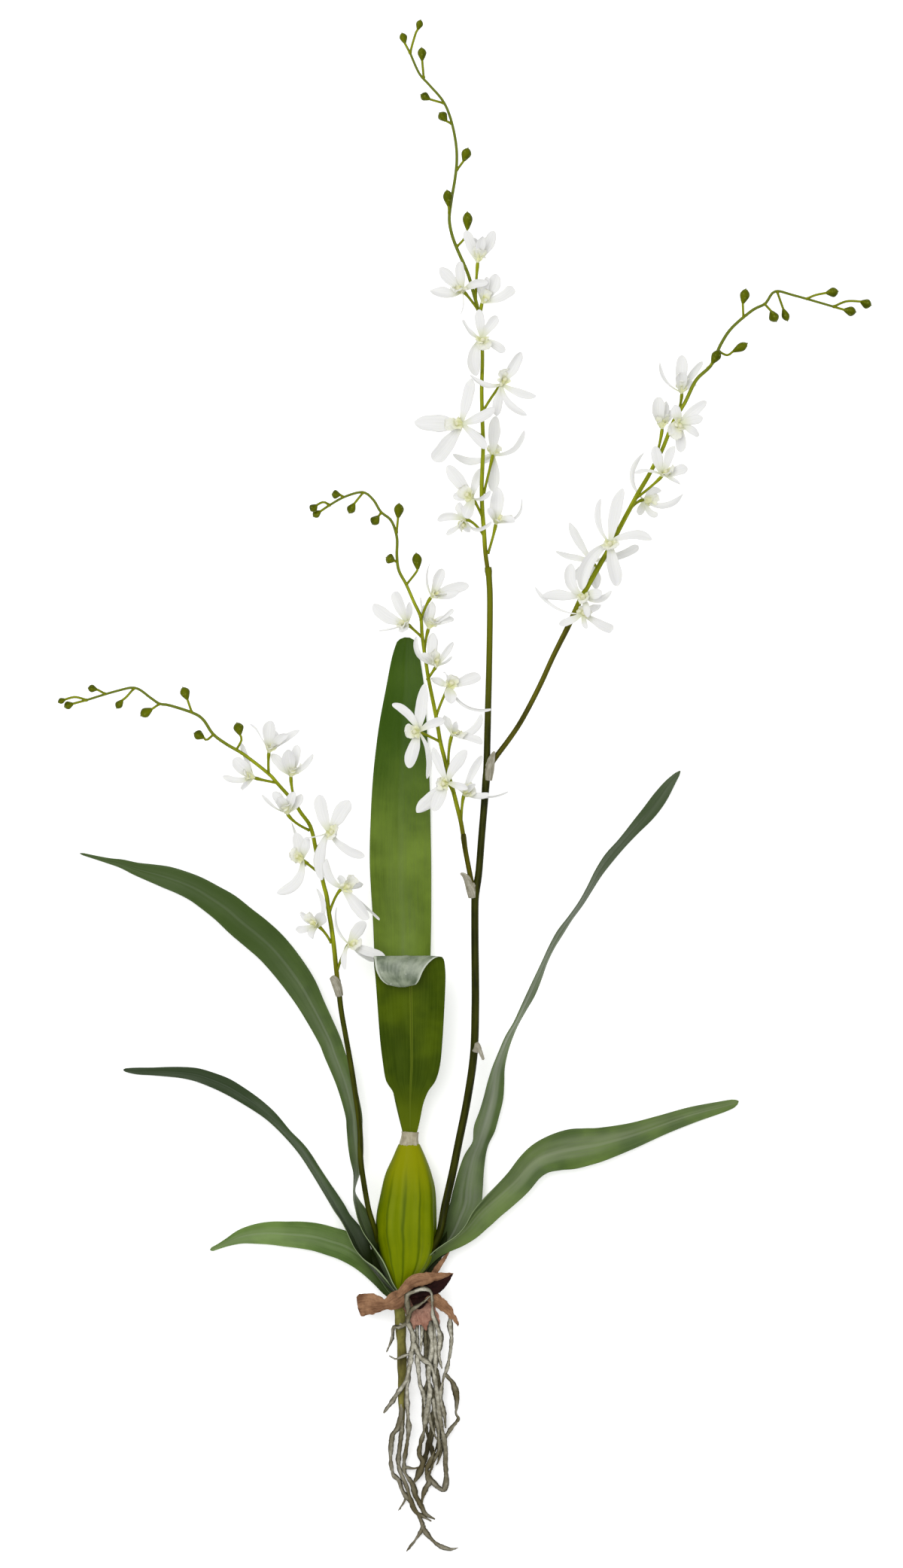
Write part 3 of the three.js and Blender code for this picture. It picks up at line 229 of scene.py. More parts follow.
# %% [markdown]
# ## Finishes
# Real plant skin is one colour with others laid over it: grain, patches, a rib, a darker foot. So a finish
# starts from one colour, and each of the others is blended over it through a mask. What is the same all over
# is set straight on the Principled shader. Colours are linear.

# %% Open a material
class Finish(Nodes):
    """A material whose skin starts as one colour and is tinted step by step."""

    def __init__(self, name, skin, **sockets):
        self.material = bpy.data.materials.new(name)
        self.material.use_nodes = True
        super().__init__(self.material.node_tree)
        self.shader = self.tree.nodes["Principled BSDF"]
        for socket, value in {"Specular_IOR_Level": 0.1, **sockets}.items():
            self.shader.inputs[socket.replace("_", " ")].default_value = value
        self.lay = self.add("ShaderNodeUVMap", uv_map="lay").outputs[0]
        self.across, self.along, _ = self.split(self.lay)
        self.place = self.add("ShaderNodeTexCoord").outputs["Object"]
        self.skin = (*skin, 1)

    def effect(self, group, inputs):
        return self.add("ShaderNodeGroup", inputs, node_tree=group.tree).outputs

    def fibre(self, across, along):
        return self.effect(fibres, {"Lay": self.lay, "Across": across, "Along": along})["Fibre"]

    def lines(self, half_width):
        """The masks of a rib, of the crease in it and of the rims."""
        return self.effect(ribs, {"Lay": self.lay, "Half Width": half_width})

    def blotch(self, scale, contrast):
        return self.effect(blotches, {"Place": self.place, "Scale": scale, "Contrast": contrast})["Blotch"]

    def speck(self, scale, size):
        return self.effect(specks, {"Place": self.place, "Scale": scale, "Size": size})["Speck"]

    def tint(self, colour, *masks):
        """Blends a colour over the skin, as far as the product of its masks and shares says."""
        mask, *others = masks
        for other in others:
            mask = self.maths("MULTIPLY", mask, other)
        colours = {0: mask, 6: self.skin, 7: (*colour, 1)}  # a Mix node keeps its colours in 6 and 7
        self.skin = self.add("ShaderNodeMix", colours, data_type="RGBA").outputs[2]

    def bump(self, height, strength, depth):
        """Raises the skin by a height that is given as a mask and a depth in millimetres."""
        node = self.add("ShaderNodeBump", {"Height": height, "Strength": strength, "Distance": depth * MM})
        self.tree.links.new(node.outputs[0], self.shader.inputs["Normal"])

    def done(self):
        self.tree.links.new(self.skin, self.shader.inputs["Base Color"])
        return self.material


def shade(colour, share, lift=0.0):
    """A darker or a brighter form of a colour."""
    return tuple(part * share + lift for part in colour)


# %% [markdown]
# ### Petals
# A tepal is pure white with a faint grey grain along it, and a breath of green near the flower's heart. It
# is thin enough to let a little light through, which subsurface scattering gives. The lip is creamier, and
# the column in its heart is yellow-green.

# %% Petal finish
def petal_finish():
    petal = Finish("petal_white", (0.77, 0.77, 0.755), Roughness=0.52, Subsurface_Weight=0.12,
                   Subsurface_Radius=(0.004, 0.004, 0.003))
    grain = petal.fibre(across=15.0, along=0.3)
    lines = petal.lines(half_width=0.03)
    petal.tint((0.81, 0.81, 0.8), grain)
    petal.tint((0.62, 0.62, 0.6), lines["Rib"], 0.3)
    # painted shade along the rims, drawn as a thin grey outline
    petal.tint((0.55, 0.55, 0.54), lines["Rim"], 0.3)
    petal.tint((0.68, 0.7, 0.53), petal.ramp(petal.along, 0.7, 0.1))
    petal.bump(grain, strength=0.08, depth=0.15)
    return petal.done()


PETAL = petal_finish()
print("made", PETAL.name)


# %% Lip and column finishes
def lip_finish():
    cream = Finish("lip_cream", (0.77, 0.775, 0.68), Roughness=0.5, Subsurface_Weight=0.12,
                   Subsurface_Radius=(0.004, 0.004, 0.002))
    grain = cream.fibre(across=18.0, along=2.0)
    cream.tint((0.83, 0.83, 0.77), grain)
    cream.tint((0.76, 0.77, 0.46), cream.ramp(cream.along, 0.6, 0.1))
    cream.bump(grain, strength=0.3, depth=0.3)
    return cream.done()


def column_finish():
    """The column is greener at its foot and paler at its hood."""
    yellow = Finish("column_yellow_green", (0.7, 0.71, 0.32), Roughness=0.38)
    yellow.tint((0.8, 0.79, 0.5), yellow.blotch(scale=260.0, contrast=0.2))
    yellow.tint((0.68, 0.7, 0.44), yellow.ramp(yellow.along, 0.3, 0.1))
    yellow.tint((0.72, 0.71, 0.5), yellow.ramp(yellow.along, 0.58, 0.66))
    return yellow.done()


LIP = lip_finish()
COLUMN = column_finish()
print("made", LIP.name, "and", COLUMN.name)

# %% [markdown]
# ### Leaves
# A leaf is a saturated green, with a grey-green sheen painted in broad soft patches, which stands for its
# gloss catching the light. It has a paler line along the midrib, painted shade in the crease of that line,
# and thin dark rims. Near the foot some of the leaves close into a channel, whose inside is painted almost
# black as shade and whose near rim has a painted highlight. One function paints them all, because real leaves
# of one plant differ only in how strong each of these is.

# %% Painted shade and highlight in the channel at the foot of a leaf
def paint_channel_shade(leaf, shade_to):
    """The channel's inside is painted near-black as shade, out to the given centimetres from the foot. Its
    near rim has a painted highlight, over a band of painted shade.
    """
    deep = leaf.ramp(leaf.along, shade_to, shade_to * 0.45)
    near_foot = leaf.ramp(leaf.along, 9.0, 4.5)
    # painted shade: the inside of the channel, near black towards the foot
    leaf.tint((0.009, 0.015, 0.001), deep, leaf.ramp(leaf.across, 0.15, 0.4), 0.92)
    # painted shade on the steep half below the near rim
    shade_below_rim = (leaf.ramp(leaf.across, 0.05, 0.12), leaf.ramp(leaf.across, 0.34, 0.16))
    leaf.tint((0.015, 0.026, 0.002), near_foot, *shade_below_rim, 0.8)
    # painted highlight on the near rim
    leaf.tint((0.26, 0.33, 0.17), near_foot, leaf.ramp(leaf.across, 0.09, 0.04))


# %% Leaf finish
SHEEN_MIDDLE = 0.46  # where the painted sheen is strongest across a blade
SHEEN_LEAST = 0.3  # how much of it is left at the rims and between its patches
FOOT_FULL, FOOT_END = 0.8, 4.5  # centimetres from the foot between which its colour fades out


def leaf_finish(name, green, bright, painted_sheen, painted_sheen_share, foot=(0.03, 0.055, 0.005), rib=None, rib_width=0.07,
                rib_strength=0.35, crease_shade_strength=0.1, gloss=0.15, tip=None, far=(0, 0), shade_to=None):
    """A leaf may turn to another colour towards its tip, between two distances in centimetres. The values
    of the leaves from the foot are the usual ones."""
    leaf = Finish(name, green, Specular_IOR_Level=gloss)
    grain = leaf.fibre(across=34.0, along=0.3)
    lines = leaf.lines(rib_width)
    leaf.tint(bright, leaf.blotch(scale=26.0, contrast=0.16))
    leaf.tint(shade(green, 0.6), leaf.fibre(across=1.1, along=0.4), 0.3)
    # painted sheen: a grey-green band along the blade, broken into patches, that stands for the gloss
    # catching the light
    patches = leaf.maths("MULTIPLY", leaf.fibre(across=1.7, along=0.07), 1 - SHEEN_LEAST)
    band = leaf.ramp(leaf.distance(leaf.across, SHEEN_MIDDLE), 0.46, 0.02, SHEEN_LEAST, 1.0)
    leaf.tint(painted_sheen, band, leaf.maths("ADD", patches, SHEEN_LEAST), painted_sheen_share)
    leaf.tint(shade(bright, 1.6, 0.01), grain, 0.12)
    leaf.tint(foot, leaf.ramp(leaf.along, FOOT_END, FOOT_FULL))
    leaf.tint(rib or shade(painted_sheen, 1.1), lines["Rib"], rib_strength)
    # painted shade in the crease along the midrib
    leaf.tint(shade(green, 0.4), lines["Crease"], crease_shade_strength)
    if tip:
        leaf.tint(tip, leaf.ramp(leaf.along, *far), 0.8)
    # small painted glints
    leaf.tint(shade(bright, 1.5, 0.03), leaf.speck(scale=42.0, size=0.035), 0.5)
    leaf.tint(shade(green, 0.5), lines["Rim"], 0.5)
    if shade_to:
        paint_channel_shade(leaf, shade_to)
    leaf.tree.links.new(leaf.ramp(grain, 0.0, 1.0, 0.34, 0.46), leaf.shader.inputs["Roughness"])
    leaf.bump(grain, strength=0.12, depth=0.2)
    return leaf.done()


# %% [markdown]
# The underside is paler than the top, and shows where the front leaf folds over. Its broad grey-green
# patches are partly its own colour and partly painted reflection of its gloss, and its small glints are
# painted highlights.

# %% Underside of the folded leaf
def underside_finish():
    """Thin and shiny, grey-green partly by painted reflection, with a pale rim and small painted glints."""
    under = Finish("leaf_under_green_painted_gloss", (0.07, 0.1, 0.05), Roughness=0.3, Specular_IOR_Level=0.5)
    grain = under.fibre(across=26.0, along=0.5)
    # broad pale grey-green patches: partly the underside's own colour, partly painted reflection
    under.tint((0.25, 0.29, 0.2), under.fibre(across=3.0, along=0.9))
    under.tint((0.32, 0.36, 0.28), grain, 0.2)
    # painted glints
    under.tint((0.55, 0.58, 0.5), under.speck(scale=190.0, size=0.16), 0.6)
    under.tint((0.5, 0.54, 0.45), under.ramp(under.distance(under.across, MIDRIB), 0.44, 0.49))
    under.bump(grain, strength=0.2, depth=0.3)
    return under.done()


LEAF_UNDER = underside_finish()
print("made", LEAF_UNDER.name)

# %% The leaves' own finishes
LEAF_FINISHES = {
    "leaf_front": leaf_finish(
        "leaf_front_green", (0.026, 0.05, 0.0), (0.075, 0.115, 0.001), (0.1, 0.14, 0.015), 0.25,
        foot=(0.09, 0.125, 0.002), rib=(0.16, 0.21, 0.015), rib_width=0.03, rib_strength=0.85,
        crease_shade_strength=0.85, gloss=0.05,
    ),
    "leaf_back": leaf_finish(
        "leaf_back_green", (0.072, 0.122, 0.004), (0.145, 0.22, 0.02), (0.17, 0.24, 0.06), 0.4,
        foot=(0.09, 0.13, 0.01), rib=(0.16, 0.22, 0.07), rib_width=0.09, rib_strength=0.15,
        crease_shade_strength=0.0, gloss=0.08, tip=(0.024, 0.07, 0.001), far=(17, 28),
    ),
    "leaf_left_upper": leaf_finish(
        "leaf_long_green", (0.025, 0.055, 0.003), (0.075, 0.13, 0.018), (0.2, 0.235, 0.155), 0.7,
        tip=(0.04, 0.075, 0.01), far=(17, 27), shade_to=6.5,
    ),
    "leaf_left_middle": leaf_finish(
        "leaf_slate_green", (0.02, 0.042, 0.008), (0.05, 0.085, 0.022), (0.15, 0.18, 0.13), 0.65,
        tip=(0.022, 0.04, 0.012), far=(9, 18), shade_to=6.5,
    ),
    "leaf_left_lower": leaf_finish(
        "leaf_fresh_green", (0.06, 0.12, 0.014), (0.155, 0.25, 0.055), (0.21, 0.275, 0.13), 0.6,
    ),
    "leaf_right_upper": leaf_finish(
        "leaf_green_painted_sheen", (0.03, 0.065, 0.003), (0.085, 0.145, 0.02), (0.25, 0.275, 0.205), 0.9,
        tip=(0.045, 0.07, 0.028), far=(17, 30),
    ),
    "leaf_right_lower": leaf_finish(
        "leaf_green_painted_rim_light", (0.03, 0.07, 0.003), (0.1, 0.17, 0.018), (0.24, 0.28, 0.165), 0.75, shade_to=1.5,
    ),
}
# a near-black green for two strips of painted shade, where the leaves at the foot leave a dark gap
SHADE_SHEET_FINISH = leaf_finish(
    "shade_sheet_dark_green", (0.008, 0.014, 0.001), (0.02, 0.035, 0.003), (0.03, 0.045, 0.006), 0.4,
    foot=(0.01, 0.016, 0.001), rib=(0.02, 0.035, 0.003), rib_width=0.05, rib_strength=0.5, gloss=0.05,
)
print("leaf finishes:", [material.name for material in LEAF_FINISHES.values()])

# %% [markdown]
# ### Bulb
# The pseudobulb is a fresh yellow-green, yellower towards its neck, and it has a few specks. Painted shade
# lies in the furrows between its ribs and on its flanks, where it turns away from the light. The painted
# furrows use the same number of ribs as the mesh, so that they lie in its hollows.

# %% Bulb finish
BULB_RIBS = 11
TOP = 0.25  # where the top of a round skin lies across its map


def bulb_finish():
    bulb = Finish("bulb_yellow_green", (0.14, 0.19, 0.0), Roughness=0.4, Specular_IOR_Level=0.05)
    grain = bulb.fibre(across=50.0, along=0.3)
    bulb.tint((0.185, 0.235, 0.0), bulb.blotch(scale=45.0, contrast=0.2))
    bulb.tint((0.22, 0.26, 0.0), grain, 0.3)
    bulb.tint((0.24, 0.255, 0.001), bulb.ramp(bulb.along, 5.5, 9.5))
    # painted shade on the flanks, where the bulb turns away from the light
    bulb.tint((0.07, 0.12, 0.0), bulb.ramp(bulb.distance(bulb.across, TOP), 0.1, 0.24), 0.6)
    # painted shade in the furrows between the ribs
    sway = bulb.maths("MULTIPLY", bulb.fibre(across=9.0, along=0.25), 0.12)
    turns = bulb.maths("ADD", bulb.maths("MULTIPLY", bulb.across, BULB_RIBS), sway)
    furrow = bulb.ramp(bulb.maths("PINGPONG", turns, 0.5), 0.17, 0.0)
    bulb.tint((0.07, 0.11, 0.0), furrow, bulb.ramp(bulb.along, 9.0, 5.5), 0.85)
    bulb.tint((0.06, 0.07, 0.0), bulb.speck(scale=75.0, size=0.07))
    bulb.bump(grain, strength=0.2, depth=0.25)
    return bulb.done()


BULB = bulb_finish()
print("made", BULB.name)

# %% [markdown]
# ### Stems
# The flower stems are a dark olive with almost black streaks, and turn yellow-green where the flowers start.
# The woody stump below the bulb, the flower stalks and the buds are skins of the same kind in other colours.

# %% Stem finish
def stem_finish(name, light, dark, streaks, roughness, foot=None, foot_end=3.0, tip=None, far=(33, 44),
                dots=None):
    """A stem has painted shade on its flanks. It may have another colour at its foot or its tip, and pale
    dots, which on the buds are partly painted highlights.
    """
    stem = Finish(name, dark, Roughness=roughness, Specular_IOR_Level=0.06)
    grain = stem.fibre(across=streaks, along=0.35)
    stem.tint(light, grain)
    stem.tint(shade(light, 1.2), stem.blotch(scale=60.0, contrast=0.2), 0.4)
    if foot:
        stem.tint(foot, stem.ramp(stem.along, foot_end, 0.2))
    if tip:
        stem.tint(tip, stem.ramp(stem.along, *far), 0.85)
    # painted shade on the flanks, away from the top
    stem.tint(shade(dark, 0.7), stem.ramp(stem.distance(stem.across, TOP), 0.05, 0.24), 0.6)
    if dots:
        stem.tint(dots, stem.speck(scale=430.0, size=0.38), 0.7)
    stem.bump(grain, strength=0.15, depth=0.25)
    return stem.done()


STUMP = stem_finish("stump_olive", (0.26, 0.24, 0.06), (0.045, 0.036, 0.01), 2.0, 0.6,
                    foot=(0.36, 0.38, 0.07), dots=(0.11, 0.095, 0.028))
SCAPE = stem_finish("scape_dark_olive", (0.036, 0.04, 0.001), (0.008, 0.01, 0.0003), 5.0, 0.4,
                    tip=(0.16, 0.175, 0.003))
BRANCH = stem_finish("branch_olive", (0.11, 0.105, 0.003), (0.03, 0.028, 0.001), 4.0, 0.4,
                     foot=(0.05, 0.045, 0.001), foot_end=4.0)
LEFT = stem_finish("scape_left_olive", (0.055, 0.062, 0.001), (0.014, 0.018, 0.0003), 4.0, 0.4)
AXIS = stem_finish("axis_yellow_green", (0.31, 0.35, 0.009), (0.11, 0.135, 0.001), 3.0, 0.4,
                   foot=(0.11, 0.105, 0.002), foot_end=3.5, tip=(0.12, 0.155, 0.018), far=(14, 22))
STALK = stem_finish("stalk_yellow_green", (0.29, 0.325, 0.01), (0.13, 0.155, 0.002), 3.0, 0.42)
# the pale dots on the buds are partly their own specks and partly painted highlights
BUD = stem_finish("bud_green", (0.15, 0.175, 0.002), (0.045, 0.06, 0.0), 3.0, 0.3, dots=(0.22, 0.25, 0.04))
print("stem finishes:", [m.name for m in (STUMP, SCAPE, BRANCH, LEFT, AXIS, STALK, BUD)])

# %% [markdown]
# ### Dry skins
# Bracts and sheaths have died off and gone papery: reddish brown round the foot, beige on the stems. Their
# colour comes from fibres and blotches together, in a share that says how ribbed the skin is.

# %% Dry finish
def dry_finish(name, light, dark, strength, ribbed=0.4):
    dry = Finish(name, dark, Roughness=0.78)
    fibre = dry.fibre(across=12.0, along=0.8)
    blotch = dry.blotch(scale=90.0, contrast=0.2)
    worn = dry.maths("ADD", dry.maths("MULTIPLY", fibre, ribbed), dry.maths("MULTIPLY", blotch, 1 - ribbed))
    dry.tint(light, worn)
    dry.tint(shade(dark, 0.6), dry.blotch(scale=420.0, contrast=0.12), 0.25)
    dry.bump(dry.maths("ADD", fibre, blotch), strength, depth=0.4)
    return dry.done()


BRACT = dry_finish("bract_red_brown", (0.43, 0.24, 0.13), (0.15, 0.07, 0.035), 0.25)
# near-black: painted shade on the bracts' lower faces and on two sheets where they curl away from the light
BRACT_SHADE = dry_finish("bract_painted_shade", (0.034, 0.009, 0.007), (0.006, 0.002, 0.002), 0.2)
BRACT_PINK = dry_finish("bract_pink_brown", (0.53, 0.3, 0.22), (0.24, 0.1, 0.065), 0.25)
SHEATH = dry_finish("sheath_beige", (0.52, 0.5, 0.42), (0.2, 0.18, 0.11), 0.25, ribbed=0.8)
COLLAR = dry_finish("collar_beige", (0.56, 0.52, 0.39), (0.28, 0.24, 0.15), 0.25, ribbed=0.6)
print("dry finishes:", [m.name for m in (BRACT, BRACT_SHADE, BRACT_PINK, SHEATH, COLLAR)])

# %% [markdown]
# ### Roots
# The roots are wrapped in a dull grey-brown coat that has worn to paler patches and dark pits. They are
# palest near the plant. Painted shade darkens their flanks, where they turn away from the light, which makes
# each root of the bunch stand out, and the roots that lie deeper in the bunch take a darker copy of the
# finish, which is painted shade too.

# %% Root finish
BROWN_FROM, BROWN_FULL = -0.1, -0.155  # metres from the bulb, between which a root turns browner


def root_finish(name, light, dark):
    root = Finish(name, dark, Roughness=0.75)
    small = root.blotch(scale=330.0, contrast=0.16)
    pit = root.speck(scale=300.0, size=0.25)
    root.tint(light, root.blotch(scale=32.0, contrast=0.14))
    root.tint(dark, root.ramp(root.split(root.place)[1], BROWN_FROM, BROWN_FULL), 0.5)
    root.tint(shade(dark, 0.9), small, 0.6)
    # painted shade on the flanks
    root.tint((0.035, 0.03, 0.012), root.ramp(root.distance(root.across, TOP), 0.04, 0.2), 0.85)
    root.tint((0.05, 0.045, 0.02), pit, 0.5)
    root.bump(root.maths("SUBTRACT", 1.0, root.maths("ADD", small, pit)), strength=0.7, depth=0.5)
    return root.done()


ROOT = root_finish("root_grey_brown", (0.6, 0.58, 0.48), (0.12, 0.1, 0.05))
# a darker copy of the root finish, which is painted shade for the roots that lie deeper
ROOT_IN_SHADE = root_finish("root_painted_shade", (0.2, 0.18, 0.11), (0.035, 0.028, 0.012))
print("made", ROOT.name, "and", ROOT_IN_SHADE.name)

# %% [markdown]
# ## One way to make every shape
# Stems, roots, leaves and petals are all skins that close round a line. Blender's grid operator gives a flat
# net of faces with a UV map. Each row of the net is wrapped round one point of the line, and one more row at
# each end closes to a point, so every skin is one closed form that faces outwards. What differs is only the
# section: a circle for a stem, a flat lens for a petal.

# %% Lines through the tables' points
Ring = namedtuple("Ring", "point side up share values")


class Route:
    """A smooth line through rows of numbers, of which the first three are a place."""

    def __init__(self, rows):
        self.rows = rows
        places = [Vector(row[:3]) for row in rows]
        self.marks = [0.0, *accumulate((b - a).length for a, b in zip(places, places[1:]))]
        self.length = self.marks[-1]

    def at(self, share):
        """All the row's numbers, eased between the rows, at a share of the line's length."""
        distance = share * self.length
        last = len(self.rows) - 1
        i = min(max(bisect_right(self.marks, distance) - 1, 0), last - 1)
        t = (distance - self.marks[i]) / (self.marks[i + 1] - self.marks[i])
        near = [self.rows[min(max(i + k, 0), last)] for k in (-1, 0, 1, 2)]
        return [
            0.5 * (2 * q + (r - p) * t + (2 * p - 5 * q + 4 * r - s) * t**2 + (3 * q - p - 3 * r + s) * t**3)
            for p, q, r, s in zip(*near)
        ]

    def rings(self, step, kept_side=None):
        """Places about one step apart, each with a side and an up that turn with the line. A line that
        folds back on itself is given one side to keep."""
        count = max(round(self.length / step), 3)
        rows = [self.at(i / count) for i in range(count + 1)]
        points = [Vector(row[:3]) for row in rows]
        made = []
        side = None
        for i, row in enumerate(rows):
            tangent = (points[min(i + 1, count)] - points[max(i - 1, 0)]).normalized()
            if side is None:
                side = tangent.cross(UP)
                side = side if side.length > UPRIGHT else RIGHT
            side = kept_side or (side - side.dot(tangent) * tangent).normalized()
            made.append(Ring(points[i], side, side.cross(tangent).normalized(), i / count, row[3:]))
        return made


example = Route([(0, 0, 0), (3, 0, 4)])
print("a straight route of", example.length, "mm has", len(example.rings(1)), "rings, one mm apart")


# %% Wrap a net round a line
MERGE_DISTANCE = 1e-4  # millimetres


def new_mesh():
    mesh = bmesh.new()
    mesh.loops.layers.uv.new("lay")
    return mesh


def circle(radius, angle):
    return radius * math.cos(angle), radius * math.sin(angle)


def add_skin(mesh, rings, sides, section, slot=0, under_slot=None, tube=True):
    """Closes a grid round the rings. section(ring, angle) gives how far each corner lies to the side and up.
    On a flat blade the faces of the lower half may take a finish of their own."""
    length = sum((b.point - a.point).length for a, b in zip(rings, rings[1:]))
    rings = [rings[0], *rings, rings[-1]]
    last = len(rings) - 1
    made = bmesh.ops.create_grid(mesh, x_segments=sides, y_segments=last, size=1, calc_uvs=True)
    lay = mesh.loops.layers.uv["lay"]
    faces = {face for vert in made["verts"] for face in vert.link_faces}
    for face in faces:
        face.smooth = True
        lower = face.calc_center_median().x > 0
        face.material_index = under_slot if under_slot is not None and lower else slot
        for loop in face.loops:
            turn, along = loop[lay].uv
            across = turn if tube else 0.5 - 0.5 * math.cos(math.tau * turn)
            loop[lay].uv = (across, along * length / MM_IN_CM)
    for vert in made["verts"]:
        angle = math.pi * (vert.co.x + 1)
        number = round((vert.co.y + 1) / 2 * last)
        ring = rings[number]
        across, rise = (0, 0) if number in (0, last) else section(ring, angle)
        vert.co = ring.point + ring.side * across + ring.up * rise
    bmesh.ops.remove_doubles(mesh, verts=made["verts"], dist=MERGE_DISTANCE)
    return [face for face in faces if face.is_valid]


# %% [markdown]
# A finished mesh is scaled to metres and becomes a piece of the plant. It is told which of the plant's solids
# it stands for, so that the same leaf isn't seen twice.

# %% Make a finished piece
def piece(name, mesh, finishes, slot, *stands_for):
    bmesh.ops.scale(mesh, vec=(MM, MM, MM), verts=mesh.verts)
    bmesh.ops.recalc_face_normals(mesh, faces=mesh.faces)
    data = bpy.data.meshes.new(name)
    mesh.to_mesh(data)
    mesh.free()
    for material in finishes:
        data.materials.append(material)
    made = bpy.data.objects.new(name, data)
    scene.collection.objects.link(made)
    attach(made, "root")
    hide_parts(*stands_for)
    print(name, "has", len(data.polygons), "faces")


# %% [markdown]
# ## The pseudobulb
# The bulb is a spindle that the plant stores water in. It could be lathed and then carved, but a skin round
# an outline is quicker: its dried ribs are a wave round the radius that fades towards the smooth top, and
# the same section flattens the bulb a little.

# %% Bulb
BULB_OUTLINE = [  # y, middle x and half width
    (-49.5, -4, 2), (-48, -4, 3.5), (-40, -1.75, 9.25), (-30, -0.25, 15.25), (-20, 0.25, 18.25),
    (-10, -0.25, 19.75), (2, -0.25, 19.75), (18, 1, 18), (30, 1.25, 15.25), (40, 1.75, 11.25),
    (50, 1.75, 6.75), (50.6, 1.75, 5),
]
BULB_DEPTH_SHARE = 0.78  # the bulb is flatter than it is wide
BULB_AXIS_HEIGHT = 14.5
BULB_STEP = 1.6
BULB_SIDES = 12 * BULB_RIBS
RIB_RISE = 0.022
RIB_FADE = 2.2  # how soon the ribs reach their full rise, from the bulb's top


def bulb_section(ring, angle):
    rise = RIB_RISE * min(1, (1 - ring.share) * RIB_FADE)
    wave = math.cos(BULB_RIBS * angle + 0.5 * math.sin(5 * ring.share)) + 0.35 * math.cos(17 * angle)
    across, up = circle(ring.values[0] * (1 + rise * wave), angle)
    return across, max(BULB_DEPTH_SHARE * up, -BULB_AXIS_HEIGHT)


outline = Route([(x, y, BULB_AXIS_HEIGHT, half) for y, x, half in BULB_OUTLINE])
bulb_rings = [ring._replace(side=RIGHT, up=UP) for ring in outline.rings(BULB_STEP)]
bulb_mesh = new_mesh()
add_skin(bulb_mesh, bulb_rings, BULB_SIDES, bulb_section)
print("the bulb is", round(outline.length), "mm long, with", BULB_RIBS, "ribs")

# %% [markdown]
# The woody stump below the bulb is a stem whose radius swells where old leaves were. It grew with the bulb,
# so both are one piece.

# %% Stump
STUMP_ROUTE = [
    (-3.5, -42, 13.5, 3), (-4.5, -56, 12.5, 4.3), (-4, -68, 11, 3.7), (-3.6, -78, 10, 3.3),
    (-3, -90, 9, 3), (-3, -101, 8.5, 2.9), (-3, -112, 8, 2.7), (-3, -125, 8.2, 2.3), (-2.6, -138, 8, 1.2),
    (-2.4, -142, 7.8, 0.5),
]
STUMP_STEP = 1.2
STUMP_SIDES = 16
STUMP_KNOTS = 0.16  # the share by which its radius swells and thins
STUMP_KNOT_COUNT = 14


def knot(way, seed):
    """How much a root or a stump swells or thins, between -1 and 1."""
    return noise.noise(Vector((way, seed, 0.5)))


def stump_section(ring, angle):
    swell = 1 + STUMP_KNOTS * knot(ring.share * STUMP_KNOT_COUNT, seed=2)
    return circle(ring.values[0] * swell * (1 + 0.05 * math.sin(3 * angle)), angle)


add_skin(bulb_mesh, Route(STUMP_ROUTE).rings(STUMP_STEP), STUMP_SIDES, stump_section, slot=1)
piece("pseudobulb_skin", bulb_mesh, [BULB, STUMP], "bulb", "pseudobulb")

# %% [markdown]
# The collar is what is left of a dry sheath: a short beige sleeve, creased lengthwise, that hugs the neck.

# %% Collar
COLLAR_ROUTE = [
    (1.75, 49.2, 14.2, 6.5), (1.8, 50.5, 14.5, 6.3), (2, 53, 14.8, 5.7), (2.3, 56, 15, 5.5),
    (2.4, 57.6, 15, 5.8),
]
COLLAR_STEP = 0.7
COLLAR_SIDES = 60
COLLAR_SQUARENESS = 0.8
COLLAR_DEPTH_SHARE = 0.92
RAGGED = 0.55  # how far the collar's ends run out of line


def collar_section(ring, angle):
    radius = ring.values[0] * (1 + 0.02 * math.sin(19 * angle) + 0.02 * math.sin(7 * angle + 2))
    across, up = (math.copysign(abs(part) ** COLLAR_SQUARENESS, part) for part in circle(1, angle))
    return radius * across, COLLAR_DEPTH_SHARE * radius * up


collar_mesh = new_mesh()
add_skin(collar_mesh, Route(COLLAR_ROUTE).rings(COLLAR_STEP), COLLAR_SIDES, collar_section)
for vert in collar_mesh.verts:
    vert.co.y += RAGGED * noise.noise(Vector((vert.co.x * 0.9, vert.co.z * 0.6, 3)))
piece("collar_skin", collar_mesh, [COLLAR], "dry_sheath", "bulb_collar")

# %% [markdown]
# ## Leaves
# A leaf is a long strap that is folded a little along its midrib. Its section is a thin plate with round
# rims. Each row of the tables gives a place midway between the rims, the width, how far the blade rolls over
# in degrees and how high its rims stand over the midrib. Two leaves grow from the bulb's crown.

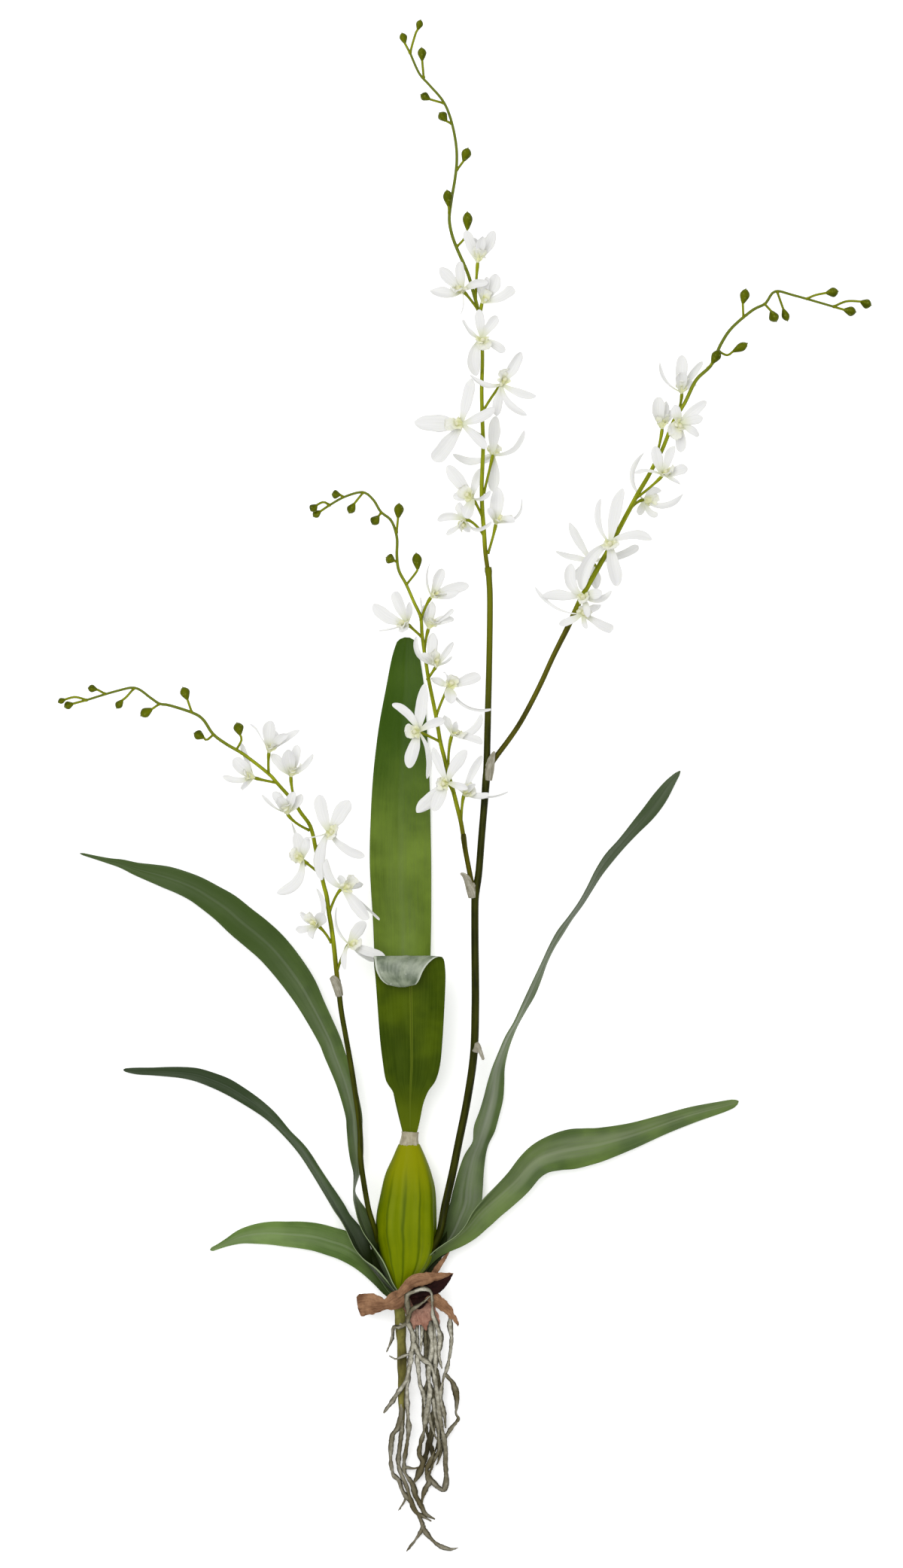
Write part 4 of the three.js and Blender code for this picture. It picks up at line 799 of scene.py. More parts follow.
# %% Leaves on the crown
LEAVES = {
    "leaf_front": [
        (2.5, 53, 16.6, 6, 0, 0.5), (2.5, 57, 17.4, 8.5, 0, 0.8), (2.5, 60, 18, 10.5, 0, 1.2),
        (2.5, 67, 18.9, 13.5, 0, 2), (2.5, 77, 20.5, 17.5, 0, 2.5), (2.7, 85.5, 22.5, 23.5, 0, 3),
        (3, 93, 24.3, 33, 0, 3.5), (3.5, 104, 26.8, 38, 0, 4), (3.3, 120.5, 30.5, 41.5, 0, 4),
        (3.1, 145, 36.7, 44.7, 0, 3.5), (2.8, 161.5, 42, 46.5, 0, 2.5), (2.2, 169, 44.8, 47, 0, 1.5),
        (1.8, 173, 46.8, 46.5, 0, 0.5), (1, 175, 49, 45, 0, 0), (-0.8, 174.5, 51.2, 41, 0, 0),
        (-3, 170.5, 52.5, 35.5, 0, -0.5), (-4.3, 165.5, 53, 31, 0, -1), (-4, 160, 52.8, 25.5, 0, -1.5),
        (-3.2, 157, 52.2, 20, 0, -1), (-3, 155.4, 52, 16, 0, -0.5), (-3, 154.8, 52, 14, 0, -0.5),
    ],
    "leaf_back": [
        (2, 55, 11.5, 9, 0, 1), (2, 58.8, 11.5, 10, 0, 1), (1, 80, 10.5, 18, 0, 3),
        (0, 110, 8.5, 27, 0, 4.5), (-1, 140, 6.5, 33, 0, 5), (-2.5, 170, 4.5, 37, 0, 5),
        (-3, 200, 3, 39, 0, 4.5), (-4, 235, 1.6, 41, 0, 4), (-4, 265, 0.9, 40, 0, 3.5),
        (-3.5, 295, 0.7, 37.5, 0, 3), (-2.5, 325, 0.7, 32.5, 0, 2.5), (-1, 350, 0.7, 26.5, 0, 2),
        (-0.5, 370, 0.7, 20, 0, 1.5), (0, 380, 0.7, 15.5, 0, 1), (0.5, 387, 0.7, 11, 0, 0.5),
    ],
}
print("leaves on the crown:", list(LEAVES))

# %% [markdown]
# The other leaves come from the bulb's foot. They start on edge, as half of a channel, and roll flat further
# out, so most of their roll is near the foot.

# %% Leaves on the left
LEAVES |= {
    "leaf_left_upper": [
        (-6, -48.5, 17.5, 3, -110, 0), (-10, -43, 19, 5, -115, 0.5), (-13.6, -35, 20, 6.5, -115, 1),
        (-16.5, -28, 20.5, 8, -105, 1.5), (-19, -22, 20.5, 9.5, -85, 2), (-21.5, -15, 20, 12, -62, 3),
        (-24.5, -8, 19, 13.5, -48, 3.5), (-28, 0, 18, 13.5, -48, 3), (-31, 7, 17, 13, -60, 2),
        (-33.4, 12.5, 16, 12.5, -72, 1), (-34.8, 18.5, 15.2, 12, -85, 0), (-34.2, 24, 14.8, 12, -80, 0),
        (-33.2, 31, 14.3, 12, -68, 0), (-33.2, 40, 13.8, 12, -45, 0.5), (-33.8, 50, 13.2, 12, -33, 1),
        (-34.5, 60, 12.7, 12, -30, 1.5), (-35.3, 70, 12.3, 12, -22, 2), (-40.5, 90, 11.8, 12.8, -8, 2.5),
        (-48, 110, 11.2, 14.2, 0, 2.8), (-51.8, 120, 10.8, 14.8, 0, 3), (-62, 140, 9.8, 17, 0, 3.2),
        (-70, 154.5, 9.1, 20, 0, 3.5), (-80, 168.5, 8.3, 21.5, 0, 3.5), (-90, 180.2, 7.6, 22.3, 0, 3.5),
        (-100, 189.2, 6.9, 22.7, 0, 3.5), (-110, 197.3, 6.2, 22.2, 0, 3.4), (-120, 206, 5.5, 21, 0, 3),
        (-130, 212.8, 4.8, 19, 0, 2.6), (-140, 219, 4.2, 17.3, 0, 2.2), (-150, 223.5, 3.6, 16, 0, 1.8),
        (-160, 227, 2.9, 14.8, 0, 1.5), (-170, 229.8, 2.3, 12, 0, 1.2), (-180, 232.5, 1.7, 8.8, 0, 0.9),
        (-190, 236, 1.2, 6, 0, 0.5), (-200, 238.3, 0.9, 3.6, 0, 0.2), (-218, 243, 0.7, 1.4, 0, 0),
    ],
    "leaf_left_middle": [
        (-6, -50.5, 12.5, 3.5, -100, 0), (-10.5, -46, 13.5, 5.5, -110, 0.5),
        (-15.2, -40.5, 14.2, 7.5, -108, 1), (-20.5, -32.5, 14.7, 10, -88, 2),
        (-25.5, -25.5, 14.5, 12.5, -60, 3.5), (-29.5, -18, 14, 14, -42, 4.5), (-33, -11, 13.4, 14, -40, 4),
        (-37.5, -4, 12.6, 12.5, -48, 3), (-41, 1, 12, 11.5, -52, 2.5), (-44.8, 7, 11.2, 11, -45, 2),
        (-50, 15.3, 9.8, 10.5, -45, 1.5), (-60, 31, 7.9, 9, -45, 1.2), (-70, 46, 6.4, 8.5, -40, 1),
        (-80, 57, 5.3, 8, -45, 0.8), (-90, 67.3, 4.5, 8.5, -30, 1), (-100, 75.3, 3.8, 9.2, -15, 1.2),
        (-110, 82, 3.2, 9.8, 0, 1.4), (-120, 87.8, 2.7, 10.4, 0, 1.5), (-130, 92, 2.1, 9.8, 0, 1.3),
        (-140, 95.3, 1.6, 9, 0, 1), (-150, 96.8, 1.3, 7.6, 0, 0.8), (-160, 97.3, 1, 6.5, 0, 0.6),
        (-170, 97.5, 0.8, 5.3, 0, 0.4), (-180, 97.8, 0.7, 4.6, 0, 0.3), (-189, 98.6, 0.7, 2.2, 0, 0),
    ],
    "leaf_left_lower": [
        (-7, -53.5, 8, 4, 0, 0.5), (-12.5, -48.5, 7.3, 7, 0, 1), (-18, -40.5, 6.6, 10.5, 0, 1.5),
        (-25, -31.5, 6, 14.5, 0, 2.5), (-32.5, -24, 5.5, 18, 0, 3), (-41.5, -18.5, 4.8, 19.5, 0, 3.5),
        (-50, -15.7, 4.2, 19.2, 0, 3.5), (-60, -12.9, 3.4, 18.7, 0, 3.3), (-70, -11.5, 2.6, 18, 0, 3),
        (-80, -10.9, 1.9, 16.8, 0, 2.7), (-90, -10.3, 1.4, 15.5, 0, 2.4), (-100, -10.8, 1, 13.4, 0, 1.8),
        (-110, -12.5, 0.8, 9.8, 0, 1.1), (-119, -16.2, 0.7, 5.6, 0, 0.5), (-125, -19, 0.7, 3.6, 0, 0.2),
        (-131, -21.6, 0.7, 2.6, 0, 0),
    ],
}
print("leaves so far:", len(LEAVES))

# %% Leaves on the right, and two strips of painted shade
LEAVES |= {
    "leaf_right_upper": [
        (14, -30, 8, 4, 0, 1), (21, -23, 8.6, 8, 0, 2), (26, -17, 9, 11.5, 0, 2.5),
        (31, -10, 9.5, 15.5, 0, 3), (35.5, 0, 9.9, 18.5, 0, 3.5), (39.5, 10, 10.2, 20.5, -5, 3.5),
        (41.3, 20, 10.4, 20.5, -22, 3), (43, 30, 10.7, 20, -34, 2.5), (45.4, 40, 11, 19, -42, 2),
        (49.4, 50, 11.3, 18, -54, 1.5), (52.2, 60, 11.6, 17.5, -35, 2), (55.4, 70, 11.9, 17, -38, 2),
        (58, 80, 12.2, 16.5, -39, 2), (59.5, 90, 12.5, 16, -46, 1.5), (61.2, 100, 12.7, 15.5, -57, 1),
        (64.2, 110, 12.9, 15, -65, 0.5), (68, 120, 13, 14.5, -70, 0.3), (73, 130, 12.9, 14, -77, 0),
        (78, 140, 12.7, 14, -75, 0), (83.2, 150, 12.4, 13.5, -69, 0.3), (87.7, 160, 12.1, 13.5, -70, 0.3),
        (92, 170, 11.7, 13, -73, 0.2), (96.8, 180, 11.2, 13, -72, 0.2), (102.5, 190, 10.6, 13, -70, 0.2),
        (109.2, 200, 9.9, 12.5, -76, 0), (116.2, 210, 9.1, 12.5, -76, 0), (122.2, 220, 8.3, 12, -72, 0),
        (128, 230, 7.4, 12, -64, 0.3), (135, 240, 6.4, 12, -56, 0.4), (143.7, 250, 5.3, 11.5, -56, 0.4),
        (152.5, 260, 4.2, 11.5, -48, 0.4), (161.5, 270, 3.2, 11, -30, 0.5), (169, 280, 2.1, 9.8, -14, 0.4),
        (176, 290, 1.2, 6.5, 0, 0.2), (182.6, 298, 0.8, 2, 0, 0),
    ],
    "leaf_right_lower": [
        (9, -40, 14.5, 4, -30, 0.5), (12.5, -32, 15.3, 7, -45, 1.5), (19.5, -24.3, 16, 9.5, -52, 2.5),
        (26.8, -19.3, 16.5, 11.5, -52, 3), (35.5, -14.3, 16.8, 13.5, -48, 4), (43, -8, 16.6, 16, -40, 5),
        (49.5, 0, 16, 19, -33, 5.5), (56.7, 7.5, 15.2, 19.5, -29, 5.5), (65, 15.2, 14.2, 20, -24, 5),
        (74, 24.2, 13, 20.5, -18, 4.5), (82, 34, 11.6, 20.5, -12, 4), (90, 40.3, 10.5, 22, -6, 3.5),
        (100, 44, 9.3, 24.8, 0, 3.5), (110, 46, 8.3, 26.8, 0, 3.5), (120, 47.5, 7.4, 25, 0, 3.2),
        (130, 49.3, 6.6, 22.3, 0, 3), (150, 54.8, 4.9, 17.2, 0, 2.3), (170, 61.8, 3.3, 13.4, 0, 1.6),
        (190, 68.5, 2.2, 11, 0, 1), (210, 73.8, 1.3, 7.8, 0, 0.6), (218, 76.2, 0.9, 5.6, 0, 0.3),
        (221.5, 77.8, 0.8, 2.4, 0, 0),
    ],
    # two dark strips of painted shade between the leaves at the foot
    "shade_sheet_left": [
        (-8, -48, 11, 4, 0, 0), (-13, -39, 11, 9, 0, 0.5), (-17, -29, 11, 11, 0, 1),
        (-19.5, -19, 11, 8, 0, 1), (-21, -10, 11, 2, 0, 0),
    ],
    "shade_sheet_right": [
        (10, -40, 10, 4, 0, 0), (15.5, -31, 10, 9, 0, 0.5), (20.5, -21, 10.5, 10, 0, 1),
        (23.5, -13, 10.5, 7, 0, 1), (26, -4, 10.5, 2, 0, 0),
    ],
}
print("leaves and shade strips:", len(LEAVES))

# %% [markdown]
# A slow ripple along the rims keeps a blade from looking cut out of plastic sheet.

# %% Grow the leaves
LEAF_THICKNESS = 0.9
LEAF_GROOVE = 0.4  # how deep the fold along the midrib is
LEAF_RIPPLE = 0.7
LEAF_STEP = 2
LEAF_SIDES = 48
GROOVE_WIDTH = 0.07  # as a share of half the blade
RIM_ROUNDNESS = 0.45  # less makes the rims squarer
TROUGH_CURVE = 1.4  # more leaves the middle of a blade flatter
TIP_BLUNTNESS = 90
RIPPLES = 9  # about how many there are along a blade


def blade_section(thickness, groove, ripple, seed):
    def section(ring, angle):
        width, roll, trough = ring.values
        tip = min(1, (1 - ring.share) * TIP_BLUNTNESS + 0.1) ** 0.5
        x = -math.cos(angle)
        plate = thickness / 2 * math.copysign(abs(math.sin(angle)) ** RIM_ROUNDNESS, math.sin(angle))
        rise = trough * abs(x) ** TROUGH_CURVE - groove * math.exp(-((x / GROOVE_WIDTH) ** 2))
        rise += ripple * x * x * noise.noise(Vector((ring.share * RIPPLES, seed, x)))
        across = x * width / 2 * tip
        c, s = circle(1, math.radians(roll))
        return across * c - (plate + rise - trough) * s, across * s + (plate + rise) * c

    return section


for seed, (name, rows) in enumerate(LEAVES.items()):
    finish = LEAF_FINISHES.get(name, SHADE_SHEET_FINISH)
    folds_over = name == "leaf_front"
    stands_for = [name] if name in LEAF_FINISHES else []
    mesh = new_mesh()
    rings = Route(rows).rings(LEAF_STEP, RIGHT if folds_over else None)
    section = blade_section(LEAF_THICKNESS, LEAF_GROOVE, LEAF_RIPPLE, seed)
    add_skin(mesh, rings, LEAF_SIDES, section, 0, 1, tube=False)
    piece(name + "_blade", mesh, [finish, LEAF_UNDER if folds_over else finish], "leaf", *stands_for)

# %% [markdown]
# ## Dry bracts
# The bracts are scraps of old leaf bases. They are short straps with crumpled faces. Their lower faces, and
# two extra dark sheets where they curl away from the light, take a near-black finish that is painted shade.
# Their tables have the same columns as the leaves'.

# %% Bract table
BRACTS = {
    "bract_left": [
        (-1, -50, 23.5, 8, 0, -1), (-6, -53.5, 23.5, 12, 0, -1.5), (-11, -56, 22.2, 10, 0, -1.5),
        (-14.5, -57, 21.3, 7, 0, -1), (-18, -57, 20.4, 11, 0, -1.5), (-24, -56.8, 19.2, 14.5, 0, -1.5),
        (-30, -57.5, 18.4, 15, 0, 0.5), (-32.5, -58, 18.3, 12, 0, 1),
    ],
    "bract_right": [
        (-6.5, -51.5, 24.5, 3, 0, -0.5), (-1, -46, 27, 6.5, 0, -1), (5, -41.3, 29.2, 8.5, 0, -1.5),
        (12, -39.6, 29.7, 8, 0, -1.5), (20, -38.2, 28.8, 5.5, 0, -1), (27, -37, 28, 3, 0, -0.5),
        (31.5, -36.2, 27.5, 0.8, 0, 0),
    ],
    # a dark strip of painted shade where the right bract curls under
    "bract_shade_strip": [
        (0, -51, 22, 5, 0, 0), (6, -47.5, 23.5, 10, 0, 0), (13, -45, 24.5, 12.5, 0, 0),
        (19, -43.7, 25.5, 12, 0, 0), (25, -40.3, 26.5, 7.5, 0, 0), (30.8, -36.9, 27.2, 1, 0, 0),
    ],
    # a dark sheet of painted shade in the dark hollow among the bracts
    "bract_hollow_shade": [
        (5.5, -46, 20, 11, 0, 0), (8.5, -51, 20.5, 14.5, 0, 0), (8.5, -56.5, 20, 9, 0, 0),
        (9, -60, 19.5, 4, 0, 0),
    ],
    "bract_lower": [
        (2, -52, 15, 14, 0, -1), (7, -58, 17.5, 19, 0, -1.5), (10, -63, 18.6, 20, 0, -1.5),
        (12, -67, 19.2, 17, 0, -1), (13, -69.5, 19.3, 12, 0, -0.5),
    ],
    "bract_tooth_left": [
        (4, -58, 18.2, 1, 0, 0), (4, -66, 19, 6, 0, -0.5), (4, -72, 19.4, 4.5, 10, -0.5),
        (2.8, -77, 19, 0.8, 20, 0),
    ],
    "bract_tooth_middle": [
        (11, -62, 19, 1, 0, 0), (12, -68, 19.6, 5.5, 0, -0.5), (12.6, -72, 19.6, 3, -10, 0),
        (13, -74.5, 19.2, 0.7, -10, 0),
    ],
    "bract_tooth_right": [
        (16, -58, 18.6, 1, 0, 0), (18.5, -64, 19.4, 6, 0, -0.5), (20.5, -68.5, 19.4, 3.5, -20, 0),
        (22, -72, 18.8, 0.7, -20, 0),
    ],
    "bract_ribbon": [
        (15, -50, 24, 8, 0, -1), (20, -54, 23.5, 8.5, 0, -1), (26, -59, 22.5, 7, 10, -1),
        (31, -65, 22, 4.5, 30, -0.5), (34.5, -71, 22, 1.5, 50, 0),
    ],
    "bract_sliver": [
        (28.5, -21.5, 13, 1, 0, 0), (25, -27, 12.5, 2.6, 0, 0), (21, -32.5, 12, 3.6, 0, 0),
        (17.5, -38, 12, 4, 0, 0),
    ],
}
print("bracts:", len(BRACTS))

# %% Grow the bracts
BRACT_THICKNESS = 0.6
BRACT_RIPPLE = 3.0
BRACT_STEP = 0.9
BRACT_SIDES = 32
BRACT_SEED = 20  # keeps the noise of the bracts apart from that of the leaves
BRACT_CRUMPLE = 0.4  # how far each fold pushes a corner
BRACT_FOLDS = (0.3, 0.9)  # how close the broad and the fine folds lie
BRACT_SOLIDS = ("bract_left", "bract_right", "bract_lower")
BRACT_TOPS = {
    "bract_lower": BRACT_PINK, "bract_tooth_left": BRACT_PINK, "bract_tooth_middle": BRACT_PINK,
    "bract_tooth_right": BRACT_PINK, "bract_shade_strip": BRACT_SHADE, "bract_hollow_shade": BRACT_SHADE,
}

for number, (name, rows) in enumerate(BRACTS.items()):
    mesh = new_mesh()
    section = blade_section(BRACT_THICKNESS, 0, BRACT_RIPPLE, BRACT_SEED + number)
    add_skin(mesh, Route(rows).rings(BRACT_STEP), BRACT_SIDES, section, 0, 1, tube=False)
    for vert in mesh.verts:
        for closeness in BRACT_FOLDS:
            vert.co += BRACT_CRUMPLE * noise.noise_vector(vert.co * closeness + Vector((number, 0, 0)))
    stands_for = [name] if name in BRACT_SOLIDS else []
    # the lower faces take the near-black painted shade
    piece(name + "_skin", mesh, [BRACT_TOPS.get(name, BRACT), BRACT_SHADE], "dry_bract", *stands_for)

# %% [markdown]
# ## Roots
# The roots could be one sculpted lump, but fine tubes along listed lines keep the gaps between them. Each
# row of the tables is one root: its radius, then its points. It starts inside another root or in the stump.

# %% Root table
ROOTS = [
    (1.9, (0.5, -70, 21.5), (1, -60, 24.5), (0.5, -51, 26), (5, -48, 27.5), (11.5, -46.2, 28),
     (16, -48, 27.5), (17, -52.5, 26.5), (17.5, -62.5, 23.5), (20, -70, 20.5), (22.5, -77.5, 17.5),
     (22.5, -82.5, 16), (21.5, -90, 14.5), (23.5, -100, 13)),
    (1.6, (0.5, -69, 22), (1.5, -65, 23), (4, -60, 25), (10, -56, 26), (16, -51, 27)),
    (1.2, (-4.5, -70, 19), (0, -71, 21.5), (2.5, -72.5, 21)),
    (1.3, (0.5, -69, 21.5), (-4, -72, 18.5), (-8.5, -72.5, 16), (-9.5, -80, 12.5), (-13.5, -89.5, 9)),
    (1.5, (3, -90, 17.5), (-1, -91, 16.4), (-7, -93.5, 14.5), (-11.5, -91.5, 12.8)),
    (2.1, (1, -69, 21.5), (4.5, -77.5, 19.5), (4, -85, 18.3), (2.5, -95, 16.5), (0, -107.5, 15),
     (-5, -115, 13.2), (-10, -122.5, 10.5), (-15.5, -130, 8)),
    (2.1, (4.3, -80, 19), (8, -90, 16.8), (11.5, -94, 16), (16, -97.5, 14.6), (19, -107.5, 12.5),
     (20.5, -120, 10.5), (21.5, -130, 9.2), (23.5, -140, 7.8), (25, -147.5, 6.8), (26, -155, 6),
     (26, -165, 5), (26.5, -175, 3.9), (25, -181, 3.2), (21.5, -180, 3.1), (17.5, -176, 3.3),
     (14.5, -172.5, 3.8), (13.5, -167.5, 4.3), (16, -162.5, 5), (19, -155, 5.8)),
    (2, (3.5, -88, 18), (0.5, -110, 14), (0.5, -125, 12), (1.5, -140, 9.5), (0, -152.5, 6.8),
     (-1.5, -162.5, 4.9), (-1, -170, 4), (4, -177.5, 3.2), (6, -185, 2.8), (10, -192.5, 2.4),
     (12.5, -197.5, 2.2), (19, -201, 1.9)),
    (1.9, (-3, -124, 9), (-3.5, -132, 9), (-6, -140, 8), (-9.5, -145, 7), (-10.5, -155, 5.6),
     (-10.5, -162.5, 4.5), (-9, -171, 3.6), (-5, -175, 3.2), (-2.5, -182.5, 2.9), (2.5, -189, 2.7),
     (6, -196, 2.5), (11, -199, 2.3), (16.5, -202.5, 1.9)),
    (1.8, (-2.5, -128, 8.5), (-3, -140, 8.4), (-4.5, -152.5, 6.3), (-5.5, -162.5, 4.6), (-4, -170, 3.7),
     (0, -179, 3), (3, -189, 2.7), (6.5, -195, 2.5), (10, -202.5, 2.3), (11.5, -207.5, 2.2),
     (15, -212.5, 2), (20, -217.5, 1.9), (25, -220, 1.9), (30, -221, 1.9), (34.5, -220, 1.6)),
    (1.5, (11.5, -205, 2.3), (9, -210, 2.1), (5, -216, 1.9), (0, -222.5, 1.5)),
    (1.3, (0.5, -185, 2.8), (-2, -190, 2.3), (-5.5, -195.5, 1.5)),
    (1.2, (-1.5, -166, 4.5), (4, -167, 4.3), (8.5, -166, 4.5), (12.5, -162.5, 5)),
    (2.1, (7, -64, 13.5), (7, -90, 16), (8, -100, 14), (9, -110, 12.4), (11.5, -117.5, 10.8),
     (12, -125, 9.3)),
    (1.7, (11, -63, 13.5), (10, -80, 17.5), (9, -90, 15.6)),
    (2.3, (15, -62, 13.5), (17, -85, 16), (15.5, -95, 14.2), (14.5, -105, 12.8), (15.5, -115, 11.4),
     (14, -125, 9.8), (12, -140, 8), (9.5, -150, 6.6), (8.5, -157.5, 5.6), (11, -162.5, 5), (8.5, -170, 4),
     (4.5, -177.5, 3.3)),
    (1.6, (17.5, -62, 14), (19.5, -90, 15.5), (19, -104, 13)),
    (1.8, (30, -62.5, 21), (29, -70, 18.5), (30, -80, 15.8), (29, -90, 13.8), (27, -100, 12.4),
     (25, -105, 12), (23.5, -112.5, 11), (22.5, -120, 10), (25, -130, 8.4), (26, -140, 7)),
    (1.8, (25, -103, 12), (26, -104, 11.8), (31, -110, 10.2), (33.5, -120, 8.6), (33, -130, 7),
     (34.5, -134, 6.4), (30, -140, 5.8), (26, -146, 5.4), (23.5, -150, 5.1), (22.5, -157.5, 4.8),
     (20, -165, 4.4)),
    (1.7, (16, -120, 10.4), (15, -130, 9), (16.5, -137.5, 7.8), (19, -145, 6.6), (21, -148, 6)),
    (1.7, (18, -120, 10.8), (19, -130, 9.2), (21, -140, 7.4), (21.5, -147.5, 6.3), (21.5, -155, 5.4),
     (18, -162.5, 4.7), (16.5, -167.5, 4.2), (14, -172.5, 3.9), (15.5, -176, 3.6), (13, -180, 3.2),
     (11, -185, 2.9), (10, -192.5, 2.6)),
]
SHADED_ROOTS = [  # the ones that lie deeper, in a darker copy of the finish that is painted shade
    (1.7, (12, -62, 13), (12.5, -80, 14), (13.5, -100, 11.5), (17.5, -118, 9), (17.5, -135, 7),
     (14.5, -150, 5.4), (12.5, -160, 4.6), (9, -171, 3.6)),
    (1.6, (15, -63, 13), (14.5, -90, 12.5), (18.5, -110, 10), (22.5, -127, 7.6), (22.8, -142, 6),
     (19, -156, 4.6)),
    (1.5, (18, -92, 13), (13, -112, 9.4), (11, -128, 7.6), (14, -144, 6), (17.5, -157, 4.8),
     (17, -168, 3.8)),
    (1.4, (20, -100, 12), (22, -118, 9), (19.5, -136, 7), (15.5, -152, 5.2), (11, -166, 3.8)),
]
print("roots:", len(ROOTS + SHADED_ROOTS))

# %% [markdown]
# A root's radius swells and thins, and every corner is pushed a little by noise, so that no root is a smooth
# hose. Broad and fine noise together look more like bark than one of them does.

# %% Grow the roots
ROOT_STEP = 1.2
ROOT_SIDES = 12
ROOT_FINENESS = 0.78  # the radii above were measured over the roots' bumps
ROOT_TAPER = 14  # millimetres over which a root thins to its tip
ROOT_TIP = 0.25  # the share of its radius that a root has at its tip
ROOT_KNOTS = 0.6
KNOT_DISTANCE = 6  # millimetres
ROOT_BUMPS = ((0.35, 0.6), (0.2, 1.1))  # how far broad and fine bumps push a corner, and how close they lie


def root_skin(mesh, radius, points, seed, slot):
    route = Route(points)

    def section(ring, angle):
        tip = min(1, (1 - ring.share) * route.length / ROOT_TAPER + ROOT_TIP)
        swell = 1 + ROOT_KNOTS * knot(ring.share * route.length / KNOT_DISTANCE, seed)
        flat = 1 + 0.16 * math.sin(2 * angle + 9 * ring.share)
        return circle(radius * tip * ROOT_FINENESS * swell * flat, angle)

    add_skin(mesh, route.rings(ROOT_STEP), ROOT_SIDES, section, slot)


roots_mesh = new_mesh()
for slot, table in enumerate((ROOTS, SHADED_ROOTS)):
    for seed, (radius, *points) in enumerate(table):
        root_skin(roots_mesh, radius, points, seed, slot)
for vert in roots_mesh.verts:
    broad, fine = (size * noise.noise_vector(vert.co * closeness) for size, closeness in ROOT_BUMPS)
    vert.co += broad + fine
    vert.co.z = max(vert.co.z, 0)
piece("roots_skin", roots_mesh, [ROOT, ROOT_IN_SHADE], "root", "aerial_roots")

# %% [markdown]
# ## Flower stems
# A flower stem is a round tube that swells a little at each joint. The main stem forks twice, and the stalks
# of its branches start inside it. Each row is a place and the radius there.

# %% Stem tables
MAIN_SCAPE = [
    (17, -22, 16, 2.2), (20, -15, 18.5, 2.4), (23, -6, 20.2, 2.55), (25.5, 8, 20, 2.6),
    (30.5, 30, 20.5, 2.6), (34.5, 50, 22.5, 2.6), (40.5, 80, 26, 2.6), (44.75, 110, 29, 2.6),
    (45.75, 140, 31, 2.6), (45.75, 160, 32, 2.55), (45.5, 185, 32, 2.5), (45.5, 210, 32, 2.5),
    (46, 218, 32, 2.7), (48, 230, 32, 2.4), (50, 255, 32, 2.35), (51.5, 273, 32, 2.35), (53, 293, 32, 2.6),
    (53.3, 300, 32, 2.3), (54, 330, 32, 2.2), (55, 370, 32.5, 2.05), (55.5, 410, 33, 2),
    (54.8, 427, 33, 2.05), (54.4, 431, 33, 2.5), (54.2, 433.2, 33, 2.3),
]
MIDDLE_BRANCH = [
    (46, 212, 32, 1.9), (44, 220, 33.5, 1.8), (41.5, 233, 36, 1.7), (39.2, 245, 38.5, 1.7),
    (38, 253.6, 40, 1.9), (37.8, 256.2, 40, 1.7),
]
RIGHT_BRANCH = [
    (53, 292, 32, 2), (55.5, 301, 33, 1.9), (60, 308, 33, 1.8), (67.5, 318, 33, 1.75), (75, 329, 33, 1.75),
    (82.5, 342.5, 33, 1.75), (90, 357.5, 33, 1.75), (97.5, 374, 33, 1.75), (107.3, 393.6, 33, 1.9),
    (108.2, 395.8, 33, 1.8),
]
LEFT_SCAPE = [
    (-19.3, -17, 15, 1.3), (-20.2, -10, 19.5, 1.6), (-22.7, -1.5, 23, 1.75), (-25.3, 7, 24, 1.8),
    (-28.5, 25, 24, 1.8), (-30.5, 40, 24.5, 1.9), (-31, 60, 25, 1.8), (-33.5, 80, 26, 1.8),
    (-36.5, 100, 27.5, 1.8), (-40, 120, 29, 1.75), (-43.5, 140, 30.5, 1.75), (-45.3, 157, 31, 1.9),
    (-45.6, 159.3, 31, 1.8),
]
print("main stem:", round(Route(MAIN_SCAPE).length), "mm, left stem:", round(Route(LEFT_SCAPE).length), "mm")

# %% Grow the stems
STEM_STEP = 3
STEM_SIDES = 20


def stem_section(ring, angle):
    """Nearly round, with five faint ridges."""
    return circle(ring.values[0] * (1 + 0.03 * math.cos(5 * angle)), angle)


main_mesh = new_mesh()
for rows, slot in ((MAIN_SCAPE, 0), (MIDDLE_BRANCH, 1), (RIGHT_BRANCH, 1)):
    add_skin(main_mesh, Route(rows).rings(STEM_STEP), STEM_SIDES, stem_section, slot)
piece("scape_main_skin", main_mesh, [SCAPE, BRANCH], "scape", "scape_main")
left_mesh = new_mesh()
add_skin(left_mesh, Route(LEFT_SCAPE).rings(STEM_STEP), STEM_SIDES, stem_section)
piece("scape_left_skin", left_mesh, [LEFT], "scape", "scape_left")

# %% [markdown]
# A sheath is a scrap of dry skin at a joint of the stem. It lies over the stem like half a sleeve, so its
# rims hang down on both sides, and its free end curls away.

